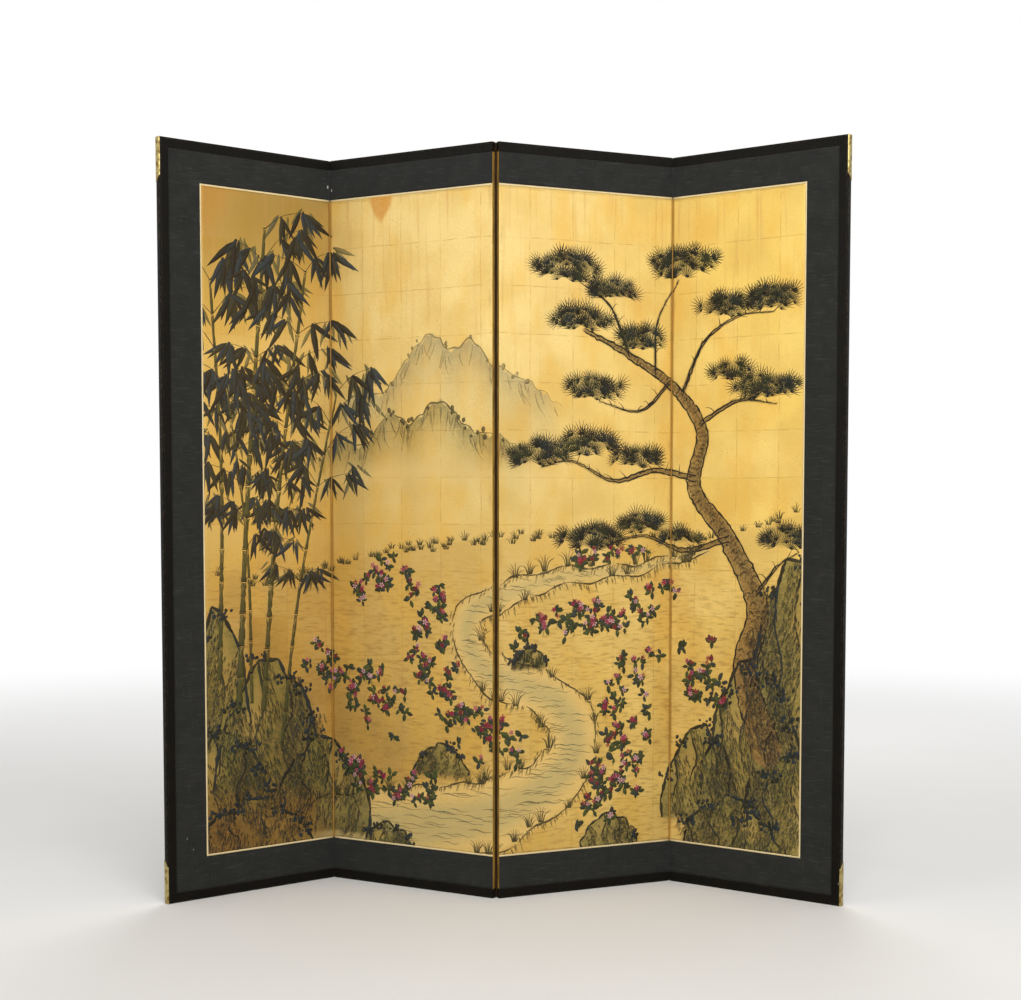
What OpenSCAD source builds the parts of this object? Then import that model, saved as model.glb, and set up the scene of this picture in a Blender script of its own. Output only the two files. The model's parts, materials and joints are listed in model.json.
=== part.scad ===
// Folding screen of four paper leaves: gold-leaf painting, cloth border and black lacquered frame.
// Millimetres, +Z up. The painted fronts look towards -Y, and leaf 1 is on the left.
// The origin is on the ground, under the middle of the standing screen.
// Inside a leaf, x runs along its width from its left edge, y from its front face to its back.

/* [Screen] */
// Height of the screen
screen_h = 1730; // [1400:5:2000]
// Width of one leaf, over everything
panel_w = 450; // [360:5:600]

/* [Standing] */
// Turn of leaf 1 away from the line of the screen
turn_1 = 39; // [10:0.5:60]
// Turn of leaf 2
turn_2 = 30; // [10:0.5:60]
// Turn of leaf 3
turn_3 = 24.5; // [10:0.5:60]
// Turn of leaf 4
turn_4 = 36; // [10:0.5:60]

/* [Lacquered frame] */
// Width of the frame's face
frame_face = 22.5; // [18:0.5:40]
// Height of the frame's face over the paper linings, front and back
frame_stand = 2; // [1.2:0.1:4]
// Width of the bevel round the outside of the frame
bevel_w = 4; // [3:0.5:7]
// Depth of that bevel
bevel_d = 2; // [1.5:0.1:3]
// Width of the small chamfer on the inner edge
arris_w = 0.8; // [0.3:0.1:1.2]
// Gap in the mitred corners, along the rail
mitre_gap = 0.3; // [0.1:0.05:1]

/* [Core lattice] */
// Thickness of the core
core_t = 12; // [9:0.5:20]
// Width of the bars round the core
core_bar_w = 22; // [18:1:40]
// Length of the tenons on the core's short bars
tenon_l = 14; // [6:1:16]
// Thickness of those tenons
tenon_t = 4; // [3:0.5:6]
// Shoulder above and below a tenon
tenon_shoulder = 4; // [2:0.5:6]
// Width of a lattice slat
slat_w = 9; // [6:1:16]
// Upright slats in a leaf
slats_up = 3; // [1:1:5]
// Level slats in a leaf
slats_across = 11; // [9:1:15]
// Gap in the joints of the core
core_clear = 0.15; // [0.1:0.05:0.4]

/* [Papers and cloth] */
// Thickness of the lining papers under the hinge strips
lining_base = 0.3; // [0.2:0.05:0.8]
// Thickness of the painting with its backing papers
painting_t = 0.4; // [0.2:0.05:0.9]
// Thickness of the border cloth with its backing paper
cloth_t = 0.6; // [0.3:0.05:1]
// Thickness of the cream fillet
fillet_t = 0.5; // [0.3:0.05:1]
// Thickness of the back paper
back_t = 0.5; // [0.3:0.05:1]
// Thickness of the gold paper on the folding edges
edge_t = 0.4; // [0.2:0.05:0.8]
// Width of the border cloth over the painting
cloth_top = 70.5; // [40:0.5:120]
// Width of the border cloth under the painting
cloth_bottom = 75.5; // [40:0.5:140]
// Width of the border cloth beside the painting
cloth_side = 78.5; // [40:0.5:120]
// Width of the cream fillet
fillet_w = 4; // [2:0.5:10]

/* [Paper hinges] */
// Hinge strips up one fold, which cross over by turns
hinge_count = 10; // [4:2:16]
// Thickness of a hinge strip
hinge_t = 0.3; // [0.2:0.05:0.6]
// Width of a strip on the face of a leaf
hinge_flange = 30; // [15:1:45]
// Gap between two strips
hinge_gap = 1; // [0.5:0.1:4]
// Distance of the folding line from the leaves' faces and edges
fold_clear = 0.3; // [0.2:0.05:1]

/* [Frame pegs] */
// Diameter of a bamboo peg
peg_d = 4; // [3:0.5:5]
// Depth of a peg in the lacquered frame
peg_in_frame = 10; // [6:1:14]
// Depth of a peg in the core
peg_in_core = 14; // [8:1:16]
// Pegs in one rail
rail_pegs = 3; // [2:1:5]
// Pegs in one outer stile
stile_pegs = 7; // [3:1:11]
// Gap round a peg, and past each of its ends
peg_clear = 0.1; // [0.05:0.05:0.3]

/* [Corner guards] */
// Height of a brass guard
guard_h = 100; // [60:5:160]
// Thickness of its sheet
guard_t = 0.8; // [0.5:0.1:1.2]
// Width of its turn over the bevel
guard_wrap = 2.2; // [1:0.1:2.4]
// Height of its slanted inner end
guard_slant = 16; // [5:1:30]
// Distance of its square end from the end of the stile
guard_inset = 0.5; // [0:0.1:3]
// Tacks in one guard
guard_tacks = 2; // [1:1:3]
// Distance of the first tack from the guard's square end
tack_end = 14; // [8:1:25]
// Diameter of a tack's head
tack_head_d = 4.2; // [3:0.2:6]
// Height of a tack's head
tack_head_h = 0.6; // [0.3:0.1:1.2]
// Diameter of a tack's shank
tack_d = 1.6; // [1.2:0.2:2.4]
// Length of a tack's shank in the stile
tack_l = 9; // [5:1:14]
// Gap round a tack's shank and past its end
tack_clear = 0.05; // [0.05:0.05:0.2]

/* [Hidden] */
$fn = 48;
leaves = [1, 2, 3, 4];
folds = [1, 2, 3];
sides = [0, 1];
ends = [0, 1];
faces = [0, 1];
cut = 1;
lining_t = lining_base + hinge_t;
core_y = frame_stand + lining_t;
panel_d = core_t + 2 * core_y;
field_low = frame_face;
field_high = screen_h - frame_face;
painting_low = field_low + cloth_bottom + fillet_w;
painting_high = field_high - cloth_top - fillet_w;
// An outer stile stands in from the edge of its leaf by the guard and the heads of the tacks
stile_in = guard_t + tack_head_h;
strip_l = (field_high - field_low - (hinge_count + 1) * hinge_gap) / hinge_count;

// The guard's sheet turns over both bevels at its own thickness
bevel_l = sqrt(bevel_w * bevel_w + bevel_d * bevel_d);
guard_edge_y = bevel_d + guard_t * (bevel_d - bevel_l) / bevel_w;
wrap_y = bevel_d * (1 - guard_wrap / bevel_w);
wrap_out_x = guard_t + guard_wrap - guard_t * bevel_d / bevel_l;
wrap_out_y = wrap_y - guard_t * bevel_w / bevel_l;

// Standing plan. Folds 1 and 3 turn about a line at the front faces, fold 2 about one at the back.
leaf_turn = [turn_1, -turn_2, turn_3, -turn_4];
function near_face(f) = f % 2 == 1 ? 0 : 1;
function fold_y(f) = near_face(f) == 0 ? -fold_clear : panel_d + fold_clear;
function from_leaf(at, turn, x, y) =
    at + x * [cos(turn), sin(turn)] + y * [-sin(turn), cos(turn)];
function leaf_corner(n) =
    n == 1 ? [0, 0] : from_leaf(fold_line(n - 1), leaf_turn[n - 1], fold_clear, -fold_y(n - 1));
function fold_line(f) =
    from_leaf(leaf_corner(f), leaf_turn[f - 1], panel_w + fold_clear, fold_y(f));
// Outermost points of a leaf's two edges, as distances in from the edge and depths
fold_edge = [[0, 0], [0, panel_d]];
guard_edge = [[0, panel_d / 2], [tack_head_h, guard_edge_y], [tack_head_h, panel_d - guard_edge_y],
    [stile_in + bevel_w, 0], [stile_in + bevel_w, panel_d]];
plan = [for (n = leaves, side = sides, p = folds_at(n, side) ? fold_edge : guard_edge)
    from_leaf(leaf_corner(n), leaf_turn[n - 1], side == 0 ? p[0] : panel_w - p[0], p[1])];
plan_x = [for (p = plan) p[0]];
plan_y = [for (p = plan) p[1]];
middle = [(min(plan_x) + max(plan_x)) / 2, (min(plan_y) + max(plan_y)) / 2];

// What a leaf has at its left edge (side 0) and its right edge (side 1)
function folds_at(n, side) = side == 0 ? n > 1 : n < len(leaves);
function fold_at(n, side) = side == 0 ? n - 1 : n;
function frame_in(n, side) = folds_at(n, side) ? 0 : stile_in;
function paper_in(n, side) = folds_at(n, side) ? 0 : stile_in + frame_face;
function core_in(n, side) = folds_at(n, side) ? edge_t + hinge_t : stile_in + frame_face;
function strip_z(i) = field_low + hinge_gap + i * (strip_l + hinge_gap);
// The long part of a strip lies on the right leaf of the fold, and of every second one on the left
function long_here(i, side) = (i % 2 == 0) == (side == 0);
function slat_x(n, i) =
    let (first = core_in(n, 0) + core_bar_w, last = panel_w - core_in(n, 1) - core_bar_w)
    first + (last - first) * (i + 1) / (slats_up + 1) - slat_w / 2;
function slat_z(j) =
    let (first = field_low + core_bar_w, last = field_high - core_bar_w)
    first + (last - first) * (j + 1) / (slats_across + 1) - slat_w / 2;
function rail_peg_x(n, i) =
    let (first = core_in(n, 0) + core_bar_w, last = panel_w - core_in(n, 1) - core_bar_w)
    first + (last - first) * (i + 0.5) / rail_pegs;
function stile_peg_z(i) =
    let (first = field_low + core_bar_w, last = field_high - core_bar_w)
    first + (last - first) * (i + 0.5) / stile_pegs;
function tack_z(i) =
    guard_inset + tack_end + i * (guard_h - guard_slant - 2 * tack_end) / max(guard_tacks - 1, 1);

leaf_parts = ["core_frame_", "core_slats_", "paper_linings_", "painting_", "cream_fillet_",
    "border_cloth_", "back_paper_", "edge_paper_", "top_rail_", "bottom_rail_", "frame_pegs_"];

// Puts a shape made in a leaf's own place into the standing screen
module in_leaf(n) {
    at = leaf_corner(n) - middle;
    translate([at[0], at[1], 0]) rotate([0, 0, leaf_turn[n - 1]]) children();
}

// Turns a shape made at the left edge of a leaf into one at the given side
module at_side(side) {
    if (side == 0) children();
    else translate([panel_w, 0, 0]) mirror([1, 0, 0]) children();
}

// Turns a shape made at the bottom of a leaf into one at the given end
module at_end(end) {
    if (end == 0) children();
    else translate([0, 0, screen_h]) mirror([0, 0, 1]) children();
}

// Turns a shape made at the front face of a leaf into one at the given face
module at_face(face) {
    if (face == 0) children();
    else translate([0, panel_d, 0]) mirror([0, 1, 0]) children();
}

module slab(x0, x1, y0, y1, z0, z1) {
    translate([x0, y0, z0]) cube([x1 - x0, y1 - y0, z1 - z0]);
}

// The papered field of a leaf between two heights, drawn in by a width at an outer edge
module field(n, in_w, y0, y1, z0, z1) {
    left = paper_in(n, 0) + (folds_at(n, 0) ? 0 : in_w);
    right = paper_in(n, 1) + (folds_at(n, 1) ? 0 : in_w);
    slab(left, panel_w - right, y0, y1, z0, z1);
}

// The hole that a border leaves, which runs out over the folding edges
module field_hole(n, in_w, t, z0, z1) {
    left = folds_at(n, 0) ? -cut : paper_in(n, 0) + in_w;
    right = folds_at(n, 1) ? -cut : paper_in(n, 1) + in_w;
    slab(left, panel_w - right, frame_stand - t - cut, frame_stand + cut, z0, z1);
}

// Frame section: x from its outer edge inwards, y from front to back
module frame_section() {
    polygon([
        [0, bevel_d], [bevel_w, 0],
        [frame_face - arris_w, 0], [frame_face, arris_w],
        [frame_face, panel_d - arris_w], [frame_face - arris_w, panel_d],
        [bevel_w, panel_d], [0, panel_d - bevel_d]]);
}

// What a mitre takes off a bar that runs along x with its outer edge on x = 0
module mitre_waste() {
    over = frame_face + cut;
    rotate([90, 0, 0]) translate([0, 0, -panel_d - cut]) linear_extrude(panel_d + 2 * cut)
        polygon([[-2 * cut, -cut], [mitre_gap / 2 - cut, -cut], [mitre_gap / 2 + over, over],
            [-2 * cut, over]]);
}

module peg_bore(depth) {
    translate([0, 0, -cut]) cylinder(d = peg_d + 2 * peg_clear, h = depth + cut);
}

// Bores for the pegs of one rail, from the joint of frame and core downwards or upwards
module rail_peg_bores(n, depth, up) {
    for (i = [0:rail_pegs - 1])
        translate([rail_peg_x(n, i), panel_d / 2, frame_face])
            rotate([up ? 0 : 180, 0, 0]) peg_bore(depth);
}

// Bores for the pegs of an outer stile at the left edge, outwards into it or inwards into the core
module stile_peg_bores(depth, inwards) {
    for (i = [0:stile_pegs - 1])
        translate([stile_in + frame_face, panel_d / 2, stile_peg_z(i)])
            rotate([0, inwards ? 90 : -90, 0]) peg_bore(depth);
}

// Bottom rail of a leaf, mitred where it meets an outer stile
module rail(n) {
    start = frame_in(n, 0);
    end = panel_w - frame_in(n, 1);
    difference() {
        translate([end, 0, 0]) rotate([0, -90, 0]) linear_extrude(end - start) frame_section();
        for (side = sides) if (!folds_at(n, side))
            at_side(side) translate([stile_in, 0, 0]) mitre_waste();
        rail_peg_bores(n, peg_in_frame, false);
    }
}

module bottom_rail(n) {
    color("#1d1b18") rail(n);
}

module top_rail(n) {
    color("#1d1b18") at_end(1) rail(n);
}

// Runs along the axis of each tack of one guard, from the stile's outer face inwards
module at_tacks() {
    for (i = [0:guard_tacks - 1])
        translate([stile_in, panel_d / 2, tack_z(i)]) rotate([0, 90, 0]) children();
}

// Outer stile at the left edge of its leaf
module outer_stile() {
    difference() {
        translate([stile_in, 0, 0]) linear_extrude(screen_h) frame_section();
        for (end = ends) at_end(end) {
            translate([stile_in, 0, 0]) mirror([1, 0, -1]) mitre_waste();
            at_tacks() translate([0, 0, -cut])
                cylinder(d = tack_d + 2 * tack_clear, h = tack_l + tack_clear + cut);
        }
        stile_peg_bores(peg_in_frame, false);
    }
}

module left_stile() {
    color("#1d1b18") outer_stile();
}

module right_stile() {
    color("#1d1b18") at_side(1) outer_stile();
}

// Section of a guard: x from its outer face inwards, y from front to back
module guard_section() {
    polygon([
        [0, guard_edge_y], [wrap_out_x, wrap_out_y],
        [guard_t + guard_wrap, wrap_y], [guard_t, bevel_d],
        [guard_t, panel_d - bevel_d], [guard_t + guard_wrap, panel_d - wrap_y],
        [wrap_out_x, panel_d - wrap_out_y], [0, panel_d - guard_edge_y]]);
}

// What the slant takes off a guard's inner end, which rises from the front face to the back
module guard_slant_waste() {
    rotate([90, 0, 90]) linear_extrude(guard_t + guard_wrap + 2 * cut)
        polygon([[-cut, -guard_slant], [0, -guard_slant], [0.8 * panel_d, 0],
            [panel_d + cut, 0], [panel_d + cut, cut], [-cut, cut]]);
}

// Bottom guard of the left stile
module guard() {
    color("#b8923f") difference() {
        translate([tack_head_h, 0, guard_inset]) linear_extrude(guard_h) guard_section();
        translate([tack_head_h - cut, 0, guard_inset + guard_h]) guard_slant_waste();
        at_tacks() translate([0, 0, -guard_t - cut])
            cylinder(d = tack_d + 2 * tack_clear, h = guard_t + 2 * cut);
    }
}

// Round-headed tack along z: the head's flat underside lies on the guard
module tack() {
    dome_r = (tack_head_h * tack_head_h + tack_head_d * tack_head_d / 4) / (2 * tack_head_h);
    translate([0, 0, -guard_t]) rotate([180, 0, 0]) rotate_extrude() intersection() {
        translate([0, tack_head_h - dome_r]) circle(r = dome_r, $fn = 192);
        square([tack_head_d / 2, tack_head_h]);
    }
    translate([0, 0, -guard_t]) cylinder(d = tack_d, h = guard_t + tack_l);
}

module guard_tack_set(side) {
    color("#c9a552") at_side(side) for (end = ends) at_end(end) at_tacks() tack();
}

// Upright bar of the core at the left edge of a leaf whose edge of that side is the given one
module core_upright(n, side) {
    x0 = core_in(n, side);
    difference() {
        slab(x0, x0 + core_bar_w, core_y, panel_d - core_y, field_low, field_high);
        for (end = ends) at_end(end)
            slab(x0 + core_bar_w - tenon_l - core_clear, x0 + core_bar_w + cut,
                (panel_d - tenon_t) / 2 - core_clear, (panel_d + tenon_t) / 2 + core_clear,
                field_low + tenon_shoulder - core_clear,
                field_low + core_bar_w - tenon_shoulder + core_clear);
        if (!folds_at(n, side)) stile_peg_bores(peg_in_core, true);
    }
}

// Bottom bar of the core, tenoned into both uprights
module core_rail(n) {
    left = core_in(n, 0) + core_bar_w;
    right = panel_w - core_in(n, 1) - core_bar_w;
    difference() {
        union() {
            slab(left + core_clear, right - core_clear, core_y, panel_d - core_y,
                field_low, field_low + core_bar_w);
            slab(left - tenon_l, right + tenon_l, (panel_d - tenon_t) / 2, (panel_d + tenon_t) / 2,
                field_low + tenon_shoulder, field_low + core_bar_w - tenon_shoulder);
        }
        rail_peg_bores(n, peg_in_core, true);
    }
}

module core_frame(n) {
    color("#c9a877") {
        for (side = sides) at_side(side) core_upright(n, side);
        for (end = ends) at_end(end) core_rail(n);
    }
}

// Upright slats are notched from the back and level ones from the front, half into each other
module core_slats(n) {
    low = field_low + core_bar_w + core_clear;
    left = core_in(n, 0) + core_bar_w + core_clear;
    right = panel_w - core_in(n, 1) - core_bar_w - core_clear;
    lap = slat_w + 2 * core_clear;
    lap_y = (panel_d + core_clear) / 2;
    color("#d3b485") {
        for (i = [0:slats_up - 1]) difference() {
            slab(slat_x(n, i), slat_x(n, i) + slat_w, core_y, panel_d - core_y,
                low, screen_h - low);
            for (j = [0:slats_across - 1])
                translate([slat_x(n, i) - cut, lap_y - core_clear, slat_z(j) - core_clear])
                    cube([slat_w + 2 * cut, core_t, lap]);
        }
        for (j = [0:slats_across - 1]) difference() {
            slab(left, right, core_y, panel_d - core_y, slat_z(j), slat_z(j) + slat_w);
            for (i = [0:slats_up - 1])
                translate([slat_x(n, i) - core_clear, lap_y - core_t, slat_z(j) - cut])
                    cube([lap, core_t, slat_w + 2 * cut]);
        }
    }
}

// Pockets for the hinge strips in the lining at the front face, at the left edge of a leaf
module strip_pockets(n, side, face) {
    near = face == near_face(fold_at(n, side));
    for (i = [0:hinge_count - 1]) if (near != long_here(i, side))
        slab(-cut, hinge_flange + core_clear, frame_stand - cut, frame_stand + hinge_t,
            strip_z(i) - core_clear, strip_z(i) + strip_l + core_clear);
}

module paper_linings(n) {
    color("#d8cdb4") for (face = faces) at_face(face) difference() {
        slab(core_in(n, 0), panel_w - core_in(n, 1), frame_stand, core_y, field_low, field_high);
        for (side = sides) if (folds_at(n, side)) at_side(side) strip_pockets(n, side, face);
    }
}

// Half of a paper hinge: on one leaf of the fold, each strip has its long part, which goes over the
// leaf's edge to its far face, or only the flange at the near face
module hinge_half(f, side) {
    color("#35220c") at_side(side) at_face(near_face(f)) for (i = [0:hinge_count - 1]) {
        z0 = strip_z(i);
        z1 = z0 + strip_l;
        if (long_here(i, side)) {
            slab(edge_t, edge_t + hinge_t, frame_stand, panel_d - frame_stand, z0, z1);
            slab(edge_t, hinge_flange, panel_d - frame_stand - hinge_t, panel_d - frame_stand,
                z0, z1);
        } else
            slab(0, hinge_flange, frame_stand, frame_stand + hinge_t, z0, z1);
    }
}

module edge_paper(n) {
    color("#c79a3c") for (side = sides) if (folds_at(n, side)) at_side(side)
        slab(0, edge_t, frame_stand + hinge_t, panel_d - frame_stand - hinge_t,
            field_low, field_high);
}

module painting(n) {
    color("#d9a944")
        field(n, cloth_side + fillet_w, frame_stand - painting_t, frame_stand,
            painting_low, painting_high);
}

module cream_fillet(n) {
    color("#efe3c0") difference() {
        field(n, cloth_side, frame_stand - fillet_t, frame_stand,
            painting_low - fillet_w, painting_high + fillet_w);
        field_hole(n, cloth_side + fillet_w, fillet_t, painting_low, painting_high);
    }
}

module border_cloth(n) {
    color("#30363a") difference() {
        field(n, 0, frame_stand - cloth_t, frame_stand, field_low, field_high);
        field_hole(n, cloth_side, cloth_t, painting_low - fillet_w, painting_high + fillet_w);
    }
}

module back_paper(n) {
    color("#26292b")
        field(n, 0, panel_d - frame_stand, panel_d - frame_stand + back_t, field_low, field_high);
}

// Bamboo pegs between the lacquered frame and the core
module frame_pegs(n) {
    color("#cdb878") {
        for (end = ends) at_end(end) for (i = [0:rail_pegs - 1])
            translate([rail_peg_x(n, i), panel_d / 2, frame_face - peg_in_frame + peg_clear])
                cylinder(d = peg_d, h = peg_in_frame + peg_in_core - 2 * peg_clear);
        for (side = sides) if (!folds_at(n, side)) at_side(side) for (i = [0:stile_pegs - 1])
            translate([stile_in + frame_face - peg_in_frame + peg_clear, panel_d / 2,
                stile_peg_z(i)])
                rotate([0, 90, 0])
                    cylinder(d = peg_d, h = peg_in_frame + peg_in_core - 2 * peg_clear);
    }
}

for (n = leaves) {
    in_leaf(n) core_frame(n);
    in_leaf(n) core_slats(n);
    in_leaf(n) paper_linings(n);
    in_leaf(n) painting(n);
    in_leaf(n) cream_fillet(n);
    in_leaf(n) border_cloth(n);
    in_leaf(n) back_paper(n);
    in_leaf(n) edge_paper(n);
    in_leaf(n) top_rail(n);
    in_leaf(n) bottom_rail(n);
    in_leaf(n) frame_pegs(n);
}
in_leaf(1) left_stile();
in_leaf(4) right_stile();
in_leaf(1) guard();  // guard_bottom_left
in_leaf(1) at_end(1) guard();  // guard_top_left
in_leaf(4) at_side(1) guard();  // guard_bottom_right
in_leaf(4) at_side(1) at_end(1) guard();  // guard_top_right
in_leaf(1) guard_tack_set(0);  // guard_tacks_left
in_leaf(4) guard_tack_set(1);  // guard_tacks_right
for (f = folds) {
    in_leaf(f) hinge_half(f, 1);
    in_leaf(f + 1) hinge_half(f, 0);
}
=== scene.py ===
"""Looks of the painted folding screen: lacquer, brass, cloth, papers and the picture on gold leaf.

Everything is in metres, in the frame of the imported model. A leaf has its own place (u, v, z): u runs along
its width from its left edge, v from its front face to its back, and z up. The unfolded picture has its own
place (s, t): s runs from its left edge over all four leaves, and t up from its lower edge.
"""
import json
import logging
import math
from collections.abc import Callable, Sequence
from dataclasses import dataclass, field, replace
from enum import Enum

import bmesh
import bpy
import numpy as np
from bpy.types import Material, Mesh, Node, NodeSocket, NodeTree, Object
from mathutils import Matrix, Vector


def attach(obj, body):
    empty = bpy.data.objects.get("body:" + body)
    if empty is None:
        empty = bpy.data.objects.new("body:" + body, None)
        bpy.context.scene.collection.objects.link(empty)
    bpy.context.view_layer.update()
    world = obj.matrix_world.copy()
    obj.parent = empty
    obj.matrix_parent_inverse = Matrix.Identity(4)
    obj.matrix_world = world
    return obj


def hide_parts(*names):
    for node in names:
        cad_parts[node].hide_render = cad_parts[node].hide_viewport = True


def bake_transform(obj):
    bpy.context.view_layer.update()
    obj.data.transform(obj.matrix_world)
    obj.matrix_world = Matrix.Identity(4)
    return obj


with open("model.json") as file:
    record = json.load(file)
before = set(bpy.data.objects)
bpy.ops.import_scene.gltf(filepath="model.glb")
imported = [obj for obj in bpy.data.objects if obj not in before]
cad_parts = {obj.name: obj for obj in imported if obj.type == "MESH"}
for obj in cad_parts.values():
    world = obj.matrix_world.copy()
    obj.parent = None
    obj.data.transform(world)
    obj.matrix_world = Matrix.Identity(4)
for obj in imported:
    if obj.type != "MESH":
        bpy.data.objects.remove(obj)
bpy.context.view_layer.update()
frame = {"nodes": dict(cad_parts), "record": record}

BODIES = frame["record"]["behaviour"]["bodies"]
LOG = logging.getLogger("folding_screen")
MM = 0.001
GOLDEN = 0.6180339887
Place = tuple[float, float]
Triple = tuple[float, float, float]
Points = Sequence[Place] | np.ndarray
Halves = tuple[float, ...]
# The setting that the text after the colon in a node's kind is for
MAIN_SETTINGS = {
    "ShaderNodeMath": "operation", "ShaderNodeVectorMath": "operation",
    "ShaderNodeMapRange": "interpolation_type", "ShaderNodeTexNoise": "noise_dimensions",
    "ShaderNodeAttribute": "attribute_name", "GeometryNodeInputNamedAttribute": "data_type"}


def linear(code: str) -> tuple[float, ...]:
    """Turns a colour to linear.

    Args:
        code: The colour as sRGB hex, such as "#d8ac55".

    Returns:
        Its linear red, green, blue and cover.
    """
    shares = [int(code[i:i + 2], 16) / 255 for i in (1, 3, 5)]
    return (*[c / 12.92 if c <= 0.04045 else ((c + 0.055) / 1.055) ** 2.4 for c in shares], 1.0)


def fill(node: Node, inputs: dict[str | int, object]) -> None:
    """Sets a node's inputs, or links them.

    Args:
        node: The node.
        inputs: A value for each input, by name or place. A socket or a node is linked, and a hex colour is
            turned to linear.
    """
    for key, value in inputs.items():
        if isinstance(value, Node):
            value = value.outputs[0]
        if isinstance(value, NodeSocket):
            node.id_data.links.new(value, node.inputs[key])
        elif isinstance(value, str) and value.startswith("#"):
            node.inputs[key].default_value = linear(value)
        else:
            node.inputs[key].default_value = value


def add(tree: NodeTree, kind: str, *inputs: object, **settings: object) -> Node:
    """Adds one node.

    Args:
        tree: The tree that gets it.
        kind: Blender's name of its type and, after a colon, its main setting.
        *inputs: What its inputs are set or linked to, in order, or one dict of them by name.
        **settings: Its other settings.

    Returns:
        The new node.
    """
    kind, _, main = kind.partition(":")
    node = tree.nodes.new(kind)
    if main:
        settings[MAIN_SETTINGS[kind]] = main
    for key, value in settings.items():
        setattr(node, key, value)
    by_name = len(inputs) == 1 and isinstance(inputs[0], dict)
    fill(node, inputs[0] if by_name else dict(enumerate(inputs)))
    return node


class Edge(Enum):
    """The two upright edges of a leaf."""

    LEFT = "left"
    RIGHT = "right"


class End(Enum):
    """The two ends of an upright piece."""

    BOTTOM = "bottom"
    TOP = "top"


class Slot(Enum):
    """The material slots of the record."""

    LACQUER = "black_lacquer"
    CLOTH = "border_cloth"
    CREAM = "cream_paper"
    PAINTING = "gold_leaf_painting"
    BACK = "back_paper"
    HINGE = "hinge_paper"
    BRASS = "brass"


@dataclass(frozen=True)
class Extent:
    """A node's box in its leaf's own place."""

    u0: float
    v0: float
    z0: float
    u1: float
    v1: float
    z1: float

    def shares(self, own: np.ndarray) -> np.ndarray:
        """Gives where points are across and up the box, from 0 to 1."""
        return np.column_stack([(own[:, 0] - self.u0) / (self.u1 - self.u0),
                                (own[:, 2] - self.z0) / (self.z1 - self.z0)])


def get_points(mesh: Mesh) -> np.ndarray:
    """Reads where a mesh's vertices are.

    Args:
        mesh: The mesh.

    Returns:
        Their places, one row each.
    """
    found = np.zeros(len(mesh.vertices) * 3, np.float32)
    mesh.vertices.foreach_get("co", found)
    return found.reshape(-1, 3).astype(float)


@dataclass(frozen=True)
class Leaf:
    """One leaf of the screen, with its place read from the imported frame."""

    number: int
    origin: Place
    along: Place
    inward: Place
    width: float
    depth: float
    height: float

    @classmethod
    def from_frame(cls, number: int) -> "Leaf":
        """Finds a leaf from its painting, which lies flat on it, and from its other nodes.

        Args:
            number: The leaf's number.

        Returns:
            The leaf.
        """
        sheet = max(frame["nodes"][f"painting_{number}"].data.polygons, key=lambda face: face.area)
        across = math.copysign(1, sheet.normal.y)
        inward = (sheet.normal.x * across, sheet.normal.y * across)
        along = (inward[1], -inward[0])
        points = np.concatenate([get_points(frame["nodes"][node].data)
                                 for node in BODIES[f"leaf_{number}"] if "hinge" not in node])
        us, vs = points[:, :2] @ along, points[:, :2] @ inward
        corner = us.min() * np.array(along) + vs.min() * np.array(inward)
        return cls(number, tuple(corner), along, inward, float(np.ptp(us)), float(np.ptp(vs)),
                   float(points[:, 2].max()))

    @property
    def body(self) -> str:
        """The name of the body that the leaf's pieces ride on."""
        return f"leaf_{self.number}"

    @property
    def turn(self) -> float:
        """The leaf's turn about the upright, in radians."""
        return math.atan2(self.along[1], self.along[0])

    def extent(self, part: str) -> Extent:
        """Gives the box of one of the leaf's nodes, named in full or without the leaf's number.

        Args:
            part: The node's name.

        Returns:
            Its box in the leaf's own place.
        """
        node = part if part in frame["nodes"] else f"{part}_{self.number}"
        points = get_points(frame["nodes"][node].data)
        flat = points[:, :2] - np.array(self.origin)
        own = np.column_stack([flat @ self.along, flat @ self.inward, points[:, 2]])
        return Extent(*own.min(0).tolist(), *own.max(0).tolist())

    def put(self, mesh: Mesh, own: np.ndarray) -> None:
        """Moves a mesh's vertices.

        Args:
            mesh: The mesh.
            own: Their new places on the leaf.
        """
        flat = np.array(self.origin) + np.outer(own[:, 0], self.along) + np.outer(own[:, 1], self.inward)
        mesh.vertices.foreach_set("co", np.column_stack([flat, own[:, 2]]).astype(np.float32).ravel())
        mesh.update()

    def put_at(self, mesh: Mesh, own: np.ndarray, edge: Edge, end: End) -> None:
        """Moves a closed mesh, given at the left edge and the bottom, to an edge and end of the leaf.

        Args:
            mesh: The mesh.
            own: The places of its vertices.
            edge: The edge.
            end: The end.
        """
        moved = own.copy()
        if edge is Edge.RIGHT:
            moved[:, 0] = self.width - moved[:, 0]
        if end is End.TOP:
            moved[:, 2] = self.height - moved[:, 2]
        self.put(mesh, moved)
        face_outwards(mesh)


def face_outwards(mesh: Mesh) -> Mesh:
    """Makes the faces of a closed mesh point outwards.

    Args:
        mesh: The mesh.

    Returns:
        The same mesh.
    """
    work = bmesh.new()
    work.from_mesh(mesh)
    bmesh.ops.recalc_face_normals(work, faces=work.faces)
    return to_mesh(work, mesh)


def to_mesh(work: bmesh.types.BMesh, mesh: Mesh) -> Mesh:
    """Writes a worked mesh back and ends the work.

    Args:
        work: The work.
        mesh: The mesh that it is written to.

    Returns:
        The same mesh.
    """
    work.to_mesh(mesh)
    work.free()
    return mesh


def plain_mesh(name: str, points: Sequence, edges: Sequence = (), faces: Sequence = ()) -> Mesh:
    """Makes a mesh.

    Args:
        name: Its name.
        points: Its vertices.
        edges: Pairs of their numbers.
        faces: The numbers of each face's corners.

    Returns:
        The new mesh.
    """
    mesh = bpy.data.meshes.new(name)
    mesh.from_pydata([tuple(p) for p in points], list(edges), list(faces))
    return mesh


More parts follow.
